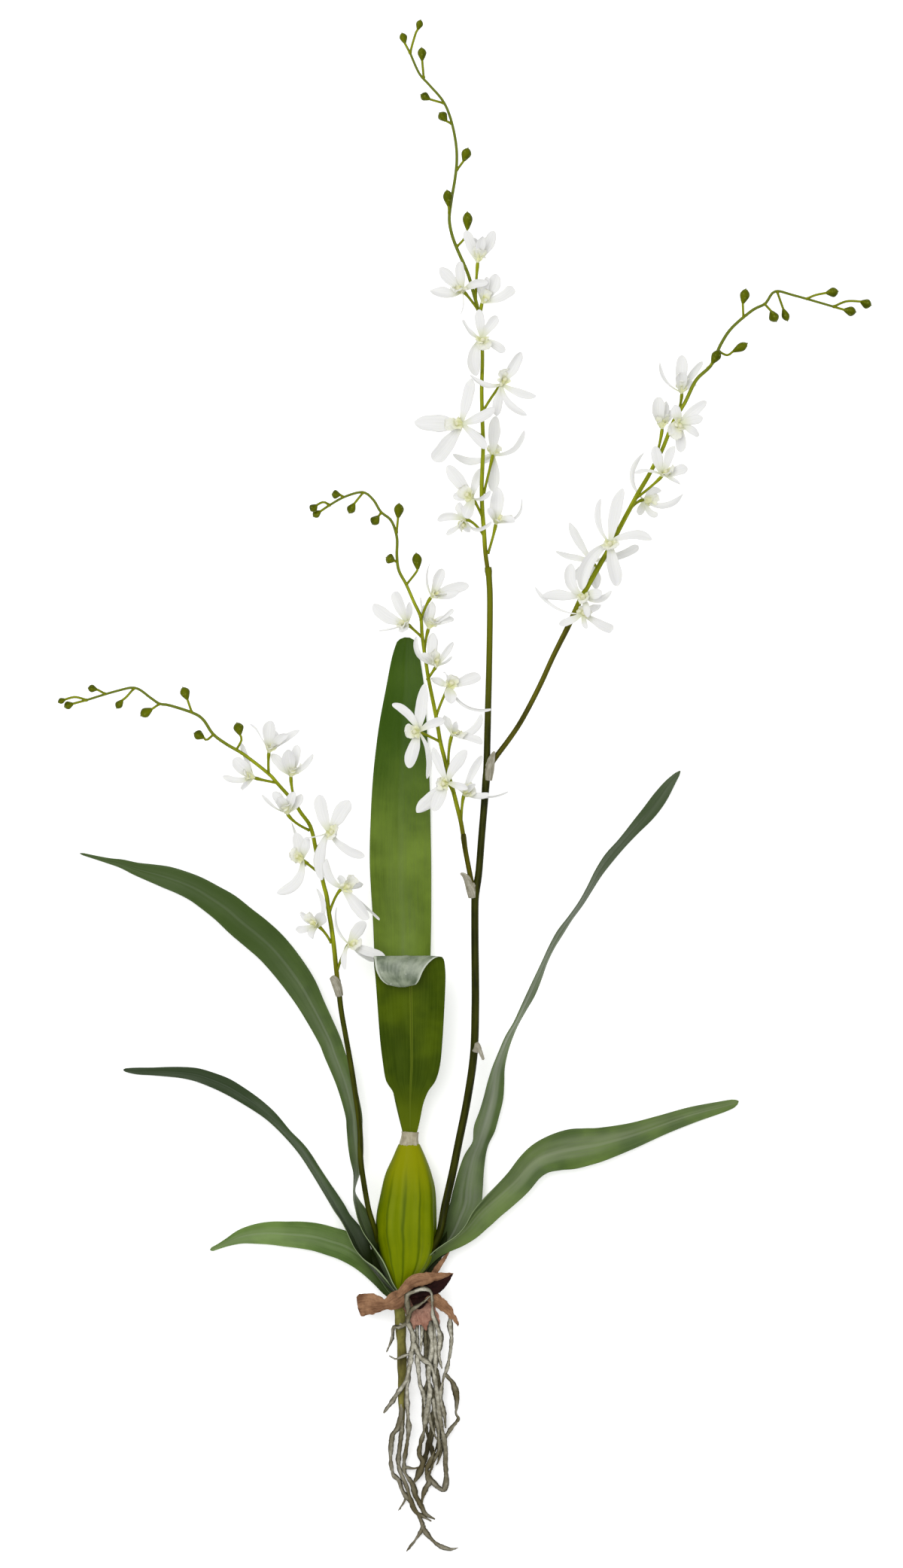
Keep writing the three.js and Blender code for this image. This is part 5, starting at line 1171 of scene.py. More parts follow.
# %% Sheaths
SHEATHS = {  # place, width, roll and how far the rims rise over the middle
    "sheath_left": [
        (-44.3, 148, 33.3, 5, 0, -3), (-45.4, 153, 34, 6, 0, -3), (-47.2, 158, 34.6, 6, 0, -2),
        (-49.8, 161.5, 35, 3.5, 0, -0.5),
    ],
    "sheath_middle": [
        (44.6, 213.5, 35.5, 6.5, 0, -3.5), (43.3, 219, 36.5, 7, 0, -3), (41, 225, 37.8, 5.5, 0, -2),
        (38.5, 228.5, 38.2, 3.5, 0, -1), (35.8, 230, 38, 1.5, 0, 0),
    ],
    "sheath_right": [
        (54, 291.5, 35.5, 5.8, 0, -3.2), (55, 298, 36.3, 6.4, 0, -3.2), (56.4, 305, 37, 5, 0, -2.2),
        (58.5, 311, 37.3, 1.5, 0, 0),
    ],
    "sheath_main": [
        (45.5, 111, 32.6, 4, 0, -2), (47, 116, 33.2, 4.4, 0, -2), (49, 112, 32.5, 3.2, 0, -0.5),
        (51.3, 106, 31, 1.8, 0, 0),
    ],
}
SHEATH_THICKNESS = 0.4
SHEATH_RIPPLE = 1.2
SHEATH_STEP = 0.6
SHEATH_SIDES = 28
SHEATH_SEED = 40

for number, (name, rows) in enumerate(SHEATHS.items()):
    mesh = new_mesh()
    section = blade_section(SHEATH_THICKNESS, 0, SHEATH_RIPPLE, SHEATH_SEED + number)
    add_skin(mesh, Route(rows).rings(SHEATH_STEP), SHEATH_SIDES, section, tube=False)
    piece(name + "_skin", mesh, [SHEATH], "dry_sheath", name)

# %% [markdown]
# ## Sprays
# A spray's axis zigzags a little from flower to flower and ends in buds. Each row of the tables below is one
# bud or one bloom. A bud is its radius and the points of its stalk, the last two of which are the bud's own
# base and tip. A bloom is its seat, the start of its stalk, the way it faces, its lip's tip and its five
# tepals, each with its tip measured from the seat. A tepal may add its width as it is seen from above, how
# far it bows to its left, its turn in degrees and the share of its length at which it is widest. A lip may
# add the width of its frill. The axis runs from the first of its two radii to the second.

# %% Top spray
SPRAYS = {}
SPRAYS["spray_top"] = {
    "radii": (1.5, 0.8),
    "axis": [
        (54.3, 430, 33), (52.5, 442.5, 33), (51.5, 457.5, 33), (50.5, 470, 33), (50, 485, 34),
        (50.5, 500, 34), (51, 515, 34), (50.5, 530, 34), (50, 550, 34), (50.5, 570, 34), (50, 590, 34),
        (48, 602.5, 33), (44, 617.5, 33), (40.5, 629, 33), (33.5, 645, 32), (30, 655, 32), (28.5, 665, 32),
        (30, 677.5, 31), (32.5, 692.5, 31), (33.5, 705, 30), (32.5, 717.5, 30), (29, 732.5, 29),
        (24, 743.5, 28), (15, 754, 27), (8.5, 761.5, 26), (2.5, 775, 25),
    ],
    "buds": [
        (2.2, (2.5, 775, 25), (4, 781, 26), (6.5, 789, 27), (7.5, 790.5, 27), (9.5, 797, 27.5)),
        (2.6, (2.5, 775, 25), (-1, 781.5, 25), (-3, 788.5, 24.5)),
        (2.8, (11.5, 758.5, 26), (10.5, 770, 28), (10, 778.5, 29)),
        (2.8, (25, 741.5, 28), (15.5, 744, 31), (9.5, 747, 32)),
        (3, (30, 728, 29), (26.5, 729.5, 32), (22, 735, 33)),
        (3.2, (33.5, 697, 30.5), (38, 703, 32), (41, 711.5, 33)),
        (3, (28.5, 668, 32), (28, 673, 34), (27, 683.5, 35)),
        (3.2, (33.5, 646, 32), (38.5, 651.5, 33), (40.5, 657.5, 34), (40.5, 669, 35)),
    ],
    "blooms": [
        ((47.5, 636, 40), (46, 611, 33), (0.15, 0.95, 0.3), (1, 6, 5),
         (-7, 20.5, 5, 6.8, 1), (10.5, 21, -2, 7.5, -1.5), (2.5, 16, 12, 6.5), (-3, 16, -11, 6),
         (7, 17, -12, 6)),
        ((37.5, 616, 44), (47.6, 604, 33), (-0.5, 0.3, 0.8), (-4, 0.5, 6),
         (-16, 14.5, 3, 8.2), (-21.5, 2, 1, 7.5, 3), (-3, 19.5, 2, 6.4, -0.5), (-1, -16.5, 4, 3, 1, 70),
         (17, 5.5, 5, 5.5, 1.5)),
        ((50.5, 609, 37), (50, 590, 34), (0.4, 0.85, 0.3), (2, 7, 4),
         (9.5, 18.5, 4, 9, -1), (20.5, 10.5, 0, 7, -2.8, 0, 0.8), (3, 16.5, 10, 5), (-5, 14, -13, 5),
         (9, 12, -16, 6)),
        ((50, 584, 44), (50.5, 562, 34), (0, 0.35, 0.93), (2, -5, 6, 9),
         (-3, 19.5, 5, 6.5), (11, 14.5, 3, 7, 1, 0, 0.75), (-12, 13, 2, 4.5, 2.5, 30),
         (15.5, -8.5, 0, 6, 1, 25, 0.75), (-1.5, -24, -5, 8.5, -4.5)),
        ((63.5, 554.5, 38), (51, 537, 34), (0.55, 0.35, 0.75), (0, 6.5, 5),
         (12.5, 21.5, 2, 7.6), (23, -7, -1, 6.5, -2.5, 0, 0.7), (17.5, -19.5, 2, 5, -5.5, 20, 0.7),
         (-4, -21, -3, 7), (-20.5, 5.5, 9, 4.8, 4.5, 30)),
        ((36.5, 528, 46), (50.5, 520, 34), (-0.25, 0.1, 0.95), (-8, -1, 5, 9),
         (-31.5, 2, -5, 11.7, 0, 0, 0.5), (6.5, 30.5, -2, 7.8), (22.5, 10, 0, 7, -1.5),
         (17, -15.5, 0, 6.5, 0.5, 0, 0.72), (-18.5, -25, -4, 10.5, 1, 0, 0.72)),
        ((57.5, 508, 25), (51.5, 482.5, 33), (0.1, 0.5, -0.85), (1, 5, -5),
         (0.5, 26, -4, 8), (20, 16.5, 2, 4.8, -6, 25), (0.5, -24.5, -4, 7.8), (-26.5, 1.5, -6, 5, 4.8, 25),
         (-6, -4, -20, 6)),
        ((43.5, 479, 38), (51, 465, 33), (-0.5, 0.3, 0.8), (-6, 4.5, 4),
         (-16, 21.5, 0, 9.2), (6, 20, -12, 6), (12, 5, 13, 3.5, -3, 50), (-5, -13, 2, 8, 1, 0, 0.65),
         (-12, 2, -18, 6)),
        ((38.5, 464.5, 30), (51, 455, 33), (-0.2, -0.6, 0.75), (-2, -4, 5),
         (-18, 0.5, 2, 5.5, -2.8), (-13, -8.5, -5, 3.8, 1.5, 40, 0.7), (18, -1.5, 13, 3.4, -5, 40),
         (-3, 12, -10, 6), (3, -8, -22, 5)),
        ((59.5, 462.5, 36), (54.3, 442.5, 33), (0.1, 0.9, 0.4), (8, 1.5, 3),
         (1.5, 24, 2, 9.3, 0, 0, 0.45), (17.5, 17.5, -2, 2.4, -7, 60), (12.5, 2, 8, 6, 0, 0, 0.7),
         (-5.5, 9, 10, 4), (8, 6, -18, 6)),
    ],
}
print("blooms on this spray:", len(SPRAYS["spray_top"]["blooms"]))

# %% Middle spray
SPRAYS["spray_middle"] = {
    "radii": (1.5, 0.8),
    "axis": [
        (37.9, 254, 40), (36, 265, 40), (33.5, 275, 40), (31, 285, 40), (28, 295, 40), (25, 307.5, 40),
        (22.5, 317.5, 40), (20, 332.5, 40), (17, 347.5, 40), (14.5, 360, 40), (13, 370, 40),
        (11.5, 380, 40), (10.3, 390, 40), (9.5, 400, 39), (5, 410, 38), (0, 421.5, 37), (-5, 431, 36),
        (-6.3, 441, 35), (-6.3, 453, 34), (-10, 464, 33), (-17, 470, 32), (-22, 478, 31), (-29, 483, 31),
        (-41, 480, 30), (-51, 474.5, 29),
    ],
    "buds": [
        (2.8, (-51, 474.5, 29), (-55, 476.5, 30), (-59.5, 474.5, 31), (-63.5, 470.5, 31)),
        (2.6, (-51, 474.5, 29), (-57, 470.5, 27), (-62, 467, 26)),
        (2.8, (-42, 479.8, 30), (-44, 481.3, 31), (-49.5, 481.5, 32)),
        (2.8, (-28.5, 483, 31), (-34.5, 475.5, 31), (-38, 469, 31)),
        (3.2, (-16.5, 469.6, 32), (-18.5, 467, 33), (-22.5, 461.5, 34)),
        (3.2, (-6.5, 456, 34), (-5.5, 466, 36), (-4.8, 475.5, 37)),
        (3.4, (-6.3, 437, 35.3), (-8, 437.3, 37), (-13.5, 439.5, 38)),
        (3, (0, 421.5, 37), (6, 429, 38), (7.5, 431.8, 38.5), (6.5, 442.5, 39)),
    ],
    "blooms": [
        ((17, 413.5, 42), (9.7, 398, 39.2), (0.7, 0.5, 0.5), (7, 1.5, 4),
         (-1, 21.5, 0, 3.4, 3, 40), (7, 18.5, 4, 7, 0.5, 0, 0.65), (25, 6.5, 0, 7.5, 1),
         (18, 1.5, 7, 5.5, -1), (5, 8, -18, 6)),
        ((0.5, 395.5, 44), (10, 387, 40), (-0.6, 0.5, 0.6), (-3.5, -2, 6, 8.5),
         (-22.5, 13.5, 0, 8.5, 3), (-9, 21.5, -2, 8.2, -0.5, 0, 0.72), (0.5, 14, 11, 4, -1.5, 30),
         (-19, -5.5, -2, 2.4, 1, 70), (-3, -5.5, 12, 6)),
        ((15, 393, 36), (12, 376, 40), (0.4, 0.85, 0.2), (4, 3, 4),
         (-6.5, 20, -6, 2.2, 1, 60), (-1, 17, -8, 6, 2), (3, 17.5, 4, 4.8), (17.5, 5, 0, 6.2, 2),
         (16, 12.5, 6, 3, -1, 45, 0.8)),
        ((20, 367.5, 44), (14, 358.5, 40), (0.35, 0.55, 0.75), (-2, 7, 5),
         (-1, 22, 0, 7.3, 2.5), (11, 16, 6, 4.8), (10.5, 5.5, 12, 2.5, -1, 60), (-9.5, 8.5, 6, 4),
         (-14.5, 19, -2, 4.2, 5.5, 30)),
        ((28.5, 354, 43), (20, 335, 40), (0.3, 0.2, 0.9), (2, 5, 5, 8.5),
         (20.5, 8, 0, 7.8, -0.5, 0, 0.72), (-12, 6.5, -5, 5, 0.5), (-2, 10, 10, 2, 0, 60),
         (1, -11.5, 8, 8, 0, 0, 0.55), (27, -15.5, -3, 3.2, -6, 35)),
        ((8, 324, 48), (22, 317.5, 40), (-0.2, 0, 0.98), (-6.5, 0, 5, 9),
         (-16.5, 18.5, 0, 5.8, -3), (4, 32, -4, 7.8, -0.5, 0, 0.45), (17.5, 8, 2, 6, 0.5, 0, 0.7),
         (-6, -24.5, 0, 8.8), (4.5, -32, -14, 4.2, 5)),
        ((30.5, 322, 38), (28, 296, 40), (0.4, 0.6, 0.6), (5.5, -1, 5),
         (-5.5, 11.5, -10, 5), (19.5, 13.5, 2, 5, -5.5), (20.5, -5, 2, 5.2, 0, 0, 0.7),
         (-3.5, -9, -8, 2.5, 0, 60), (3, 8, 12, 4)),
        ((27, 290, 51), (31.5, 282, 40), (-0.3, -0.1, 0.95), (-5, -0.5, 5, 9),
         (-9.5, 24, -4, 6), (14, 21, 2, 7.5, 1.5), (-19.5, -20, -5, 9), (-8, -19, 3, 8.5), (14, -3, 8, 5)),
        ((38.5, 282.5, 42), (36.5, 262, 40), (0.3, 0.4, 0.85), (5, 3, 4),
         (12, 26, -5, 5.5, 1), (6.5, 7, 14, 4), (29.5, 2, 1, 2.4, -3, 60), (16.5, -0.5, 7, 4.2, -1),
         (-4, 6, -18, 6)),
    ],
}
print("blooms on this spray:", len(SPRAYS["spray_middle"]["blooms"]))

# %% Right spray
SPRAYS["spray_right"] = {
    "radii": (1.9, 0.8),
    "axis": [
        (107.5, 394, 33), (112.5, 405, 33), (116, 412.5, 33), (121.5, 422.5, 33), (130, 437.5, 33),
        (133.5, 443.5, 33), (141.5, 459, 33), (150, 475, 33), (154, 482.5, 33), (160, 492.5, 33),
        (164, 500, 33), (170, 511.5, 33), (177.5, 530, 33), (185, 542.5, 33), (192.5, 557.5, 33),
        (202.5, 567.5, 32), (209, 581.5, 31), (216.5, 592.5, 30), (230, 604, 29), (238.5, 608.5, 28),
        (245, 616.5, 28), (257.5, 614, 27), (284, 606.5, 26),
    ],
    "buds": [
        (3, (284, 606.5, 26), (292.5, 610, 27), (302, 609.8, 28), (309, 607.3, 28)),
        (3, (284, 606.5, 26), (291, 604.5, 25), (299, 603, 24)),
        (3, (266, 611.6, 26.7), (271.5, 614, 28), (279, 615.5, 29), (287, 616.5, 30)),
        (2.6, (246.5, 616.2, 28), (250.5, 605, 27), (253.5, 597, 26)),
        (3.4, (238, 608.3, 28), (242.5, 603.5, 27), (246, 596.5, 26)),
        (3, (224, 599, 29.4), (223.5, 608.5, 31), (225.5, 618, 32)),
        (2.8, (207, 577, 31.3), (213, 574, 32), (217, 576.5, 32.5), (226.5, 581.8, 33)),
        (3, (200, 565, 32.3), (203, 568.5, 35), (207.5, 577, 36.5)),
    ],
    "blooms": [
        ((183, 549.5, 27), (180, 534, 33), (-0.1, 0.9, 0.3), (1, 6, 5),
         (-14.5, 20.5, 2, 3.4, 4.8, 35), (0, 25, 2, 8), (-1.5, 13, 13, 8.5), (13.5, 21.5, -8, 4.5),
         (10, 8, -18, 6)),
        ((170, 526, 28), (164, 500, 33), (0, 0.95, 0.2), (1, 6, 4),
         (-0.5, 20.5, 4, 8.3, 2), (6, 11, -8, 6), (4, 17, -10, 4), (2, 12, -14, 5), (-1, 13, -12, 5)),
        ((181, 528, 46), (176, 525, 33), (0.5, 0.1, 0.85), (-4.5, -6, 6, 12),
         (18.5, 14, -2, 6.8, 1.5), (15.5, 4, 5, 6.2), (14.5, -6.5, -2, 6.2, 0, 0, 0.7), (1, -19, -3, 7),
         (-4, 12, 4, 7)),
        ((170, 494, 44), (152, 478.5, 33), (0.3, 0.5, 0.8), (4, 2, 6, 10),
         (-4.5, 19.5, 4, 7.5, 1), (7, 20, 2, 6), (17, 5, 0, 7), (12, -6, 2, 3, 0, 50),
         (-18.5, 2.5, 2, 3.5, -1.5, 30)),
        ((158, 478, 22), (148, 471, 33), (0.6, -0.2, -0.6), (7, 2, -3),
         (0.5, 32, -2, 3.4, 8.5, 30), (-2, -10, -8, 5.6, 0, 0, 0.7), (8.5, -11, -6, 4.5, -2, 0, 0.8),
         (26.5, 5, -4, 4.8, -6, 25), (10, 8, -18, 6)),
        ((135, 449, 46), (138, 452, 33), (-0.1, 0.2, 0.97), (0.5, -3, 6, 12),
         (7.5, 37, -4, 8.4, 0.8, 0, 0.55), (-5.5, 30, -4, 4.4, 5, 20), (28, 3, -2, 6.4, 3.5, 0, 0.65),
         (5, -29, -3, 9), (-19, -31, 0, 9, -5)),
        ((123, 438, 24), (127, 432, 33), (-0.3, 0.3, -0.85), (-2, 2, -6),
         (-15.5, 24.5, 0, 5.8, 0.5), (-24, 5.5, -2, 4.5, 1, 0, 0.45), (31, 10.5, -4, 6, -3, 0, 0.84),
         (4, -19, -4, 7), (-12, -12, -14, 6)),
        ((117.5, 413.5, 49), (117, 414.5, 33), (-0.2, 0.2, 0.95), (0.5, -2.5, 6, 8),
         (-27.5, 1, -3, 7), (-8.5, 21.5, -3, 8, 5), (12.5, 1, 6, 7.5, 1), (18.5, 4, -3, 4.8, -5),
         (3, -14, 3, 5)),
        ((117, 402, 41), (109.5, 398.5, 33), (0, -0.2, 0.97), (2, 3, 5),
         (-31, 18.5, -3, 2.6, 5.2, 50), (-16.5, -6.5, 0, 5.2, 1), (20, -11, -2, 6.6, 0, 0, 0.82),
         (12, 7, -14, 5), (2, -10, 6, 4)),
    ],
}
print("blooms on this spray:", len(SPRAYS["spray_right"]["blooms"]))

# %% Left spray
SPRAYS["spray_left"] = {
    "radii": (1.6, 0.8),
    "axis": [
        (-45.5, 157.4, 31), (-46.5, 165, 31), (-48, 180, 31), (-50, 195, 31), (-51.5, 204, 31),
        (-53, 215, 31), (-55, 222.5, 31), (-60, 245, 31), (-62, 255, 31), (-64.5, 262.5, 31),
        (-70, 270, 31), (-75, 277.5, 31), (-86, 290, 31), (-91.5, 296, 31), (-107.5, 308.5, 31),
        (-120, 316, 31), (-128.5, 322.5, 31), (-135, 332, 31), (-142, 336.5, 31), (-157.5, 341.5, 30),
        (-164, 342.5, 30), (-170, 346.5, 30), (-180, 353, 30), (-192.5, 351, 29), (-212.5, 345, 28),
    ],
    "buds": [
        (2, (-212.5, 345, 28), (-220, 347, 28), (-226.5, 345.5, 28), (-231.5, 343.5, 28)),
        (2.7, (-212.5, 345, 28), (-221.5, 342.6, 27), (-227.5, 340.5, 26)),
        (2.5, (-200, 349, 28.6), (-205.5, 352, 30), (-211.5, 353, 31)),
        (2.5, (-181, 352.8, 30), (-186, 347, 31), (-188.5, 345, 31), (-192.5, 339.5, 31)),
        (3.2, (-164, 342.5, 30), (-169, 339, 31), (-176.5, 334.5, 31)),
        (3.2, (-142.5, 336.7, 31), (-145.5, 345.5, 32), (-148.5, 353.5, 33)),
        (3.2, (-128, 322.2, 31), (-132.5, 318.5, 32), (-134.5, 320, 33), (-141, 323, 34)),
        (3.4, (-113, 311.8, 31), (-109.5, 318.5, 32), (-110.5, 322, 33), (-112.5, 330, 34)),
    ],
    "blooms": [
        ((-101.5, 293.5, 32), (-86, 290, 31), (-0.85, 0.3, 0.4), (-5, 3, 3),
         (-13.5, 12.5, 4, 9), (-20.5, 1, 0, 4.6, 2.5), (-7.5, 23, -10, 4), (-6, -2, -16, 5),
         (-8, -8, -14, 5)),
        ((-91, 311, 40), (-91.5, 296, 31), (0.2, 0.9, 0.4), (5, 4, 5),
         (1, 20.5, 4, 8.6, 1), (-11, 19, -4, 2, 0.5, 60), (12, 11.5, 8, 5.4, 0.5), (19.5, 14.5, -4, 4.8),
         (4, 14, -14, 6)),
        ((-76.5, 295, 36), (-73, 274.5, 31), (0.2, 0.9, 0.4), (4, 4.5, 4),
         (-12, 15, 0, 6.5, 1.5), (-3, 17, 10, 8.5), (4.5, 20.5, 0, 6.5), (14, 14.5, 4, 4, -2.8),
         (2, 14, -14, 6)),
        ((-79, 270, 41), (-64.5, 258.5, 31), (-0.2, 0.9, 0.4), (1, 5, 5),
         (-16, 13, 0, 3, 3, 50), (-8.5, 15, 2, 6.5), (-6.5, 10, 8, 7.5), (3.5, 14, 8, 6),
         (10, 12.5, 0, 6, -1)),
        ((-51, 257.5, 43), (-60, 246, 31), (0.1, 0.1, 0.98), (3, -1, 6, 12),
         (-6.5, 24.5, -2, 9, 1.5), (12.5, 21.5, 0, 9.8, 0.5, 0, 0.66), (-15.5, -3.5, 4, 3, 1, 50),
         (23.5, -16.5, 0, 6.2, -3.5, 0, 0.7), (-4.5, -32, -4, 7.5, -4.5)),
        ((-69, 239, 38), (-56.5, 229, 31), (-0.5, 0.4, 0.7), (-6, 3, 4),
         (-4, 18, 2, 7.5), (4.5, 15, 4, 6), (-8, 24.5, -6, 2.8, -1, 50), (-16.5, -22.5, -2, 7.2, 5.5),
         (4, -4, -8, 4)),
        ((-42, 220, 38), (-51.3, 203, 31), (0.5, -0.2, 0.8), (5.5, 6, 3),
         (17, -20.5, 2, 8.5), (24.5, -20.5, -8, 3, 0, 30), (-10, 20, 2, 5.8, 4.5), (-2, 8, -16, 5),
         (14, 4, -14, 5)),
        ((-59, 195, 35), (-50, 184, 31), (-0.7, 0.2, 0.6), (-4.5, 6.5, 3),
         (4.5, 9, 12, 7.5), (-1, 25, 0, 3.4, -5, 30), (-14, -3.5, 6, 5.2, 0, 0, 0.75), (-4, -7.5, 11, 5.5),
         (-12, 8, -14, 5)),
        ((-38, 183, 36), (-45.8, 166, 31), (0.4, 0.2, 0.85), (5, -1, 5),
         (11.5, 14.5, 4, 8.8, 0.5), (24, -8, 0, 7, -1), (16.5, -12, -8, 5), (-2, -17, 4, 3.8, -2.5, 30),
         (-8, 24, -4, 3.5, 4, 30)),
    ],
}
print("blooms on this spray:", len(SPRAYS["spray_left"]["blooms"]))

# %% [markdown]
# Each flower stands on a short stalk that bends towards the light, and a small pointed scale hugs the stalk's
# foot. The last part of the stalk is the ovary, which is thicker. A curve with three points is enough for
# the bend.

# %% Scales and flower stalks
SCALE_THICKNESS = 0.4
SCALE_LENGTH = 3.2
SCALE_SIDES = 12
PEDICEL_RADIUS = 0.9
PEDICEL_SWELL = (1.15, 1, 1, 1, 1, 1.05, 1.25, 1.4, 1.2)  # from the axis to the flower
PEDICEL_SIDES = 12
STALK_STEP = 1.8


def bezier(start, bend, end, t):
    return start * (1 - t) ** 2 + bend * 2 * t * (1 - t) + end * t * t


def scale_under(mesh, start, direction):
    """A small pointed scale that hugs the foot of a stalk."""
    forward = direction.normalized()
    rows = [
        (*(start - forward * 0.6 + UP * 0.9), 2.2, 0, -0.8),
        (*(start + forward * 0.4 * SCALE_LENGTH + UP * 1.3), 1.8, 0, -0.6),
        (*(start + forward * SCALE_LENGTH + UP * 1.25), 0.3, 0, 0),
    ]
    section = blade_section(SCALE_THICKNESS, 0, 0, 0)
    add_skin(mesh, Route(rows).rings(0.8), SCALE_SIDES, section, 1, 1, tube=False)


def pedicel(mesh, seat, start, facing):
    """A flower's stalk, which arrives from behind the flower."""
    end = seat - facing * 0.8
    reach = (start - end).length
    arrival = (facing + (end - start).normalized()).normalized()
    parts = len(PEDICEL_SWELL) - 1
    points = [bezier(start, end - arrival * 0.4 * reach, end, i / parts) for i in range(parts + 1)]
    route = Route([(*point, PEDICEL_RADIUS * swell) for point, swell in zip(points, PEDICEL_SWELL)])
    add_skin(mesh, route.rings(STALK_STEP), PEDICEL_SIDES, stem_section, slot=1)
    scale_under(mesh, start, points[1] - start)


# %% [markdown]
# A bud is round and fullest past its middle, with three faint seams where its outer tepals meet and a small
# beak at its tip.

# %% Buds
BUD_STALK_RADIUS = 0.8
BUD_STALK_SIDES = 10
BUD_SIDES = 20
BUD_RINGS = 20
BUD_FULLNESS = 1.06
BUD_WIDEST = 0.6  # the share of its length at which a bud is widest
BEAK_RADII = (0.5, 0.38, 0.2)
BEAK_SIDES = 8


def bud_shape(share):
    if share < BUD_WIDEST:
        return 0.3 + 0.7 * math.sin(math.pi / 2 * share / BUD_WIDEST) ** 1.3
    return 1 - 0.92 * ((share - BUD_WIDEST) / (1 - BUD_WIDEST)) ** 1.9


def bud(mesh, radius, points):
    base, tip = points[-2:]
    stalk = Route([(*point, BUD_STALK_RADIUS) for point in (*points[:-1], base.lerp(tip, 0.2))])
    add_skin(mesh, stalk.rings(STALK_STEP), BUD_STALK_SIDES, stem_section, slot=1)
    scale_under(mesh, points[0], points[1] - points[0])

    def section(ring, angle):
        seams = 1 + 0.06 * math.cos(3 * angle) + 0.04 * math.sin(2 * angle + radius * 9)
        return circle(radius * BUD_FULLNESS * bud_shape(ring.share) * seams, angle)

    body = Route([base.lerp(tip, share).to_tuple() for share in (0, 0.33, 0.66, 1)])
    add_skin(mesh, body.rings(body.length / BUD_RINGS), BUD_SIDES, section, slot=2)
    places = (tip.lerp(base, 0.1), tip, tip + (tip - base) * 0.05)
    beak = Route([(*place, beak_radius) for place, beak_radius in zip(places, BEAK_RADII)])
    add_skin(mesh, beak.rings(0.3), BEAK_SIDES, stem_section, slot=2)


# %% Grow the sprays
AXIS_STEP = 2.5
AXIS_SIDES = 16

for name, spray in SPRAYS.items():
    mesh = new_mesh()
    first, last = spray["radii"]
    count = len(spray["axis"]) - 1
    rows = [(*point, first + (last - first) * i / count) for i, point in enumerate(spray["axis"])]
    add_skin(mesh, Route(rows).rings(AXIS_STEP), AXIS_SIDES, stem_section)
    for seat, start, facing, *_ in spray["blooms"]:
        pedicel(mesh, Vector(seat), Vector(start), Vector(facing).normalized())
    for radius, *points in spray["buds"]:
        bud(mesh, radius, [Vector(point) for point in points])
    piece(name + "_stalks", mesh, [AXIS, STALK, BUD], "spray", name)

# %% [markdown]
# ## Blooms
# A bloom has five narrow tepals, a small frilled lip and a stubby column in its heart. A tepal is a lens
# section on a bent line: narrow at its foot, widest past its middle and rounded off at its tip. Its rims
# curl a little to the front or the back, and it twists a little along its length. How much is drawn with a
# seed for each bloom, as no two tepals are alike.

# %% Line of a petal
def blade_rings(middle, chord, face, arch, count, bow=0, turn=0, twist=0, hook=0):
    """Rings on a bent line. They lie closer together towards the tip, which is round."""
    left = Vector((-chord.y, chord.x, 0)).normalized()
    bend = middle + chord / 2 + face * 2 * arch + left * 2 * bow
    end = middle + chord
    side = chord.cross(face).normalized()
    side.rotate(Quaternion(chord.normalized(), math.radians(turn)))
    rings = []
    for i in range(count + 1):
        share = math.sin(math.pi / 2 * i / count)
        point = bezier(middle, bend, end, share) + left * hook * max(share - 0.5, 0) ** 2 * 4
        tangent = ((bend - middle) * (1 - share) + (end - bend) * share).normalized()
        now = side.copy()
        now.rotate(Quaternion(tangent, math.radians(twist) * share))
        now = (now - now.dot(tangent) * tangent).normalized()
        rings.append(Ring(point, now, now.cross(tangent).normalized(), share, ()))
    return rings


# %% Section of a petal
Curl = namedtuple("Curl", "rims keel ripple waves phase recurve lean")
WORN = 0.1  # the share by which a petal's rims run in and out
RECURVE_FROM = 0.55  # the share of its length from which a petal bends back


def petal_section(width, shape, curl, thickness):
    """A thin section, curled at its rims, keeled in the middle, wavy, and bent back at its tip."""
    def section(ring, angle):
        x = -math.cos(angle)
        worn = 1 + WORN * noise.noise(Vector((4 * ring.share + curl.phase, math.copysign(3, x), curl.phase)))
        half = width / 2 * shape(ring.share) * worn
        wave = math.sin(curl.phase + curl.waves * ring.share)
        rise = curl.rims * half * x * x - curl.keel * half * (1 - abs(x)) ** 2
        rise += curl.ripple * x * abs(x) * wave * ring.share
        rise += curl.recurve * max(ring.share - RECURVE_FROM, 0) ** 2 * 5
        across = x * half * (1 + curl.lean * x + 0.05 * wave * x)
        return across, thickness / 2 * math.sin(angle) + rise

    return section


# %% Tepals
TEPAL_USUAL = (7.5, 0, 0, 0.6)  # width, bow, turn and where it is widest
TEPAL_ARCH = 1.5  # how far a tepal's middle stands out of its chord
TEPAL_THICKNESS = 0.5
TEPAL_RINGS = 20
TEPAL_SIDES = 20
FOOT_SHARE = 0.32  # how much of its width a tepal has at its foot
LEAST_SEEN = 0.6  # a blade that leans further than this isn't widened to look its table width


def tepal_shape(widest):
    """The share of its full width that a tepal has along its length."""
    def shape(share):
        if share < widest:
            return FOOT_SHARE + (1 - FOOT_SHARE) * math.sin(math.pi / 2 * share / widest) ** 1.4
        past = (share - widest) / (1 - widest)
        return max(1 - past ** (1.9 + 1.2 * widest), 0) ** 0.6

    return shape


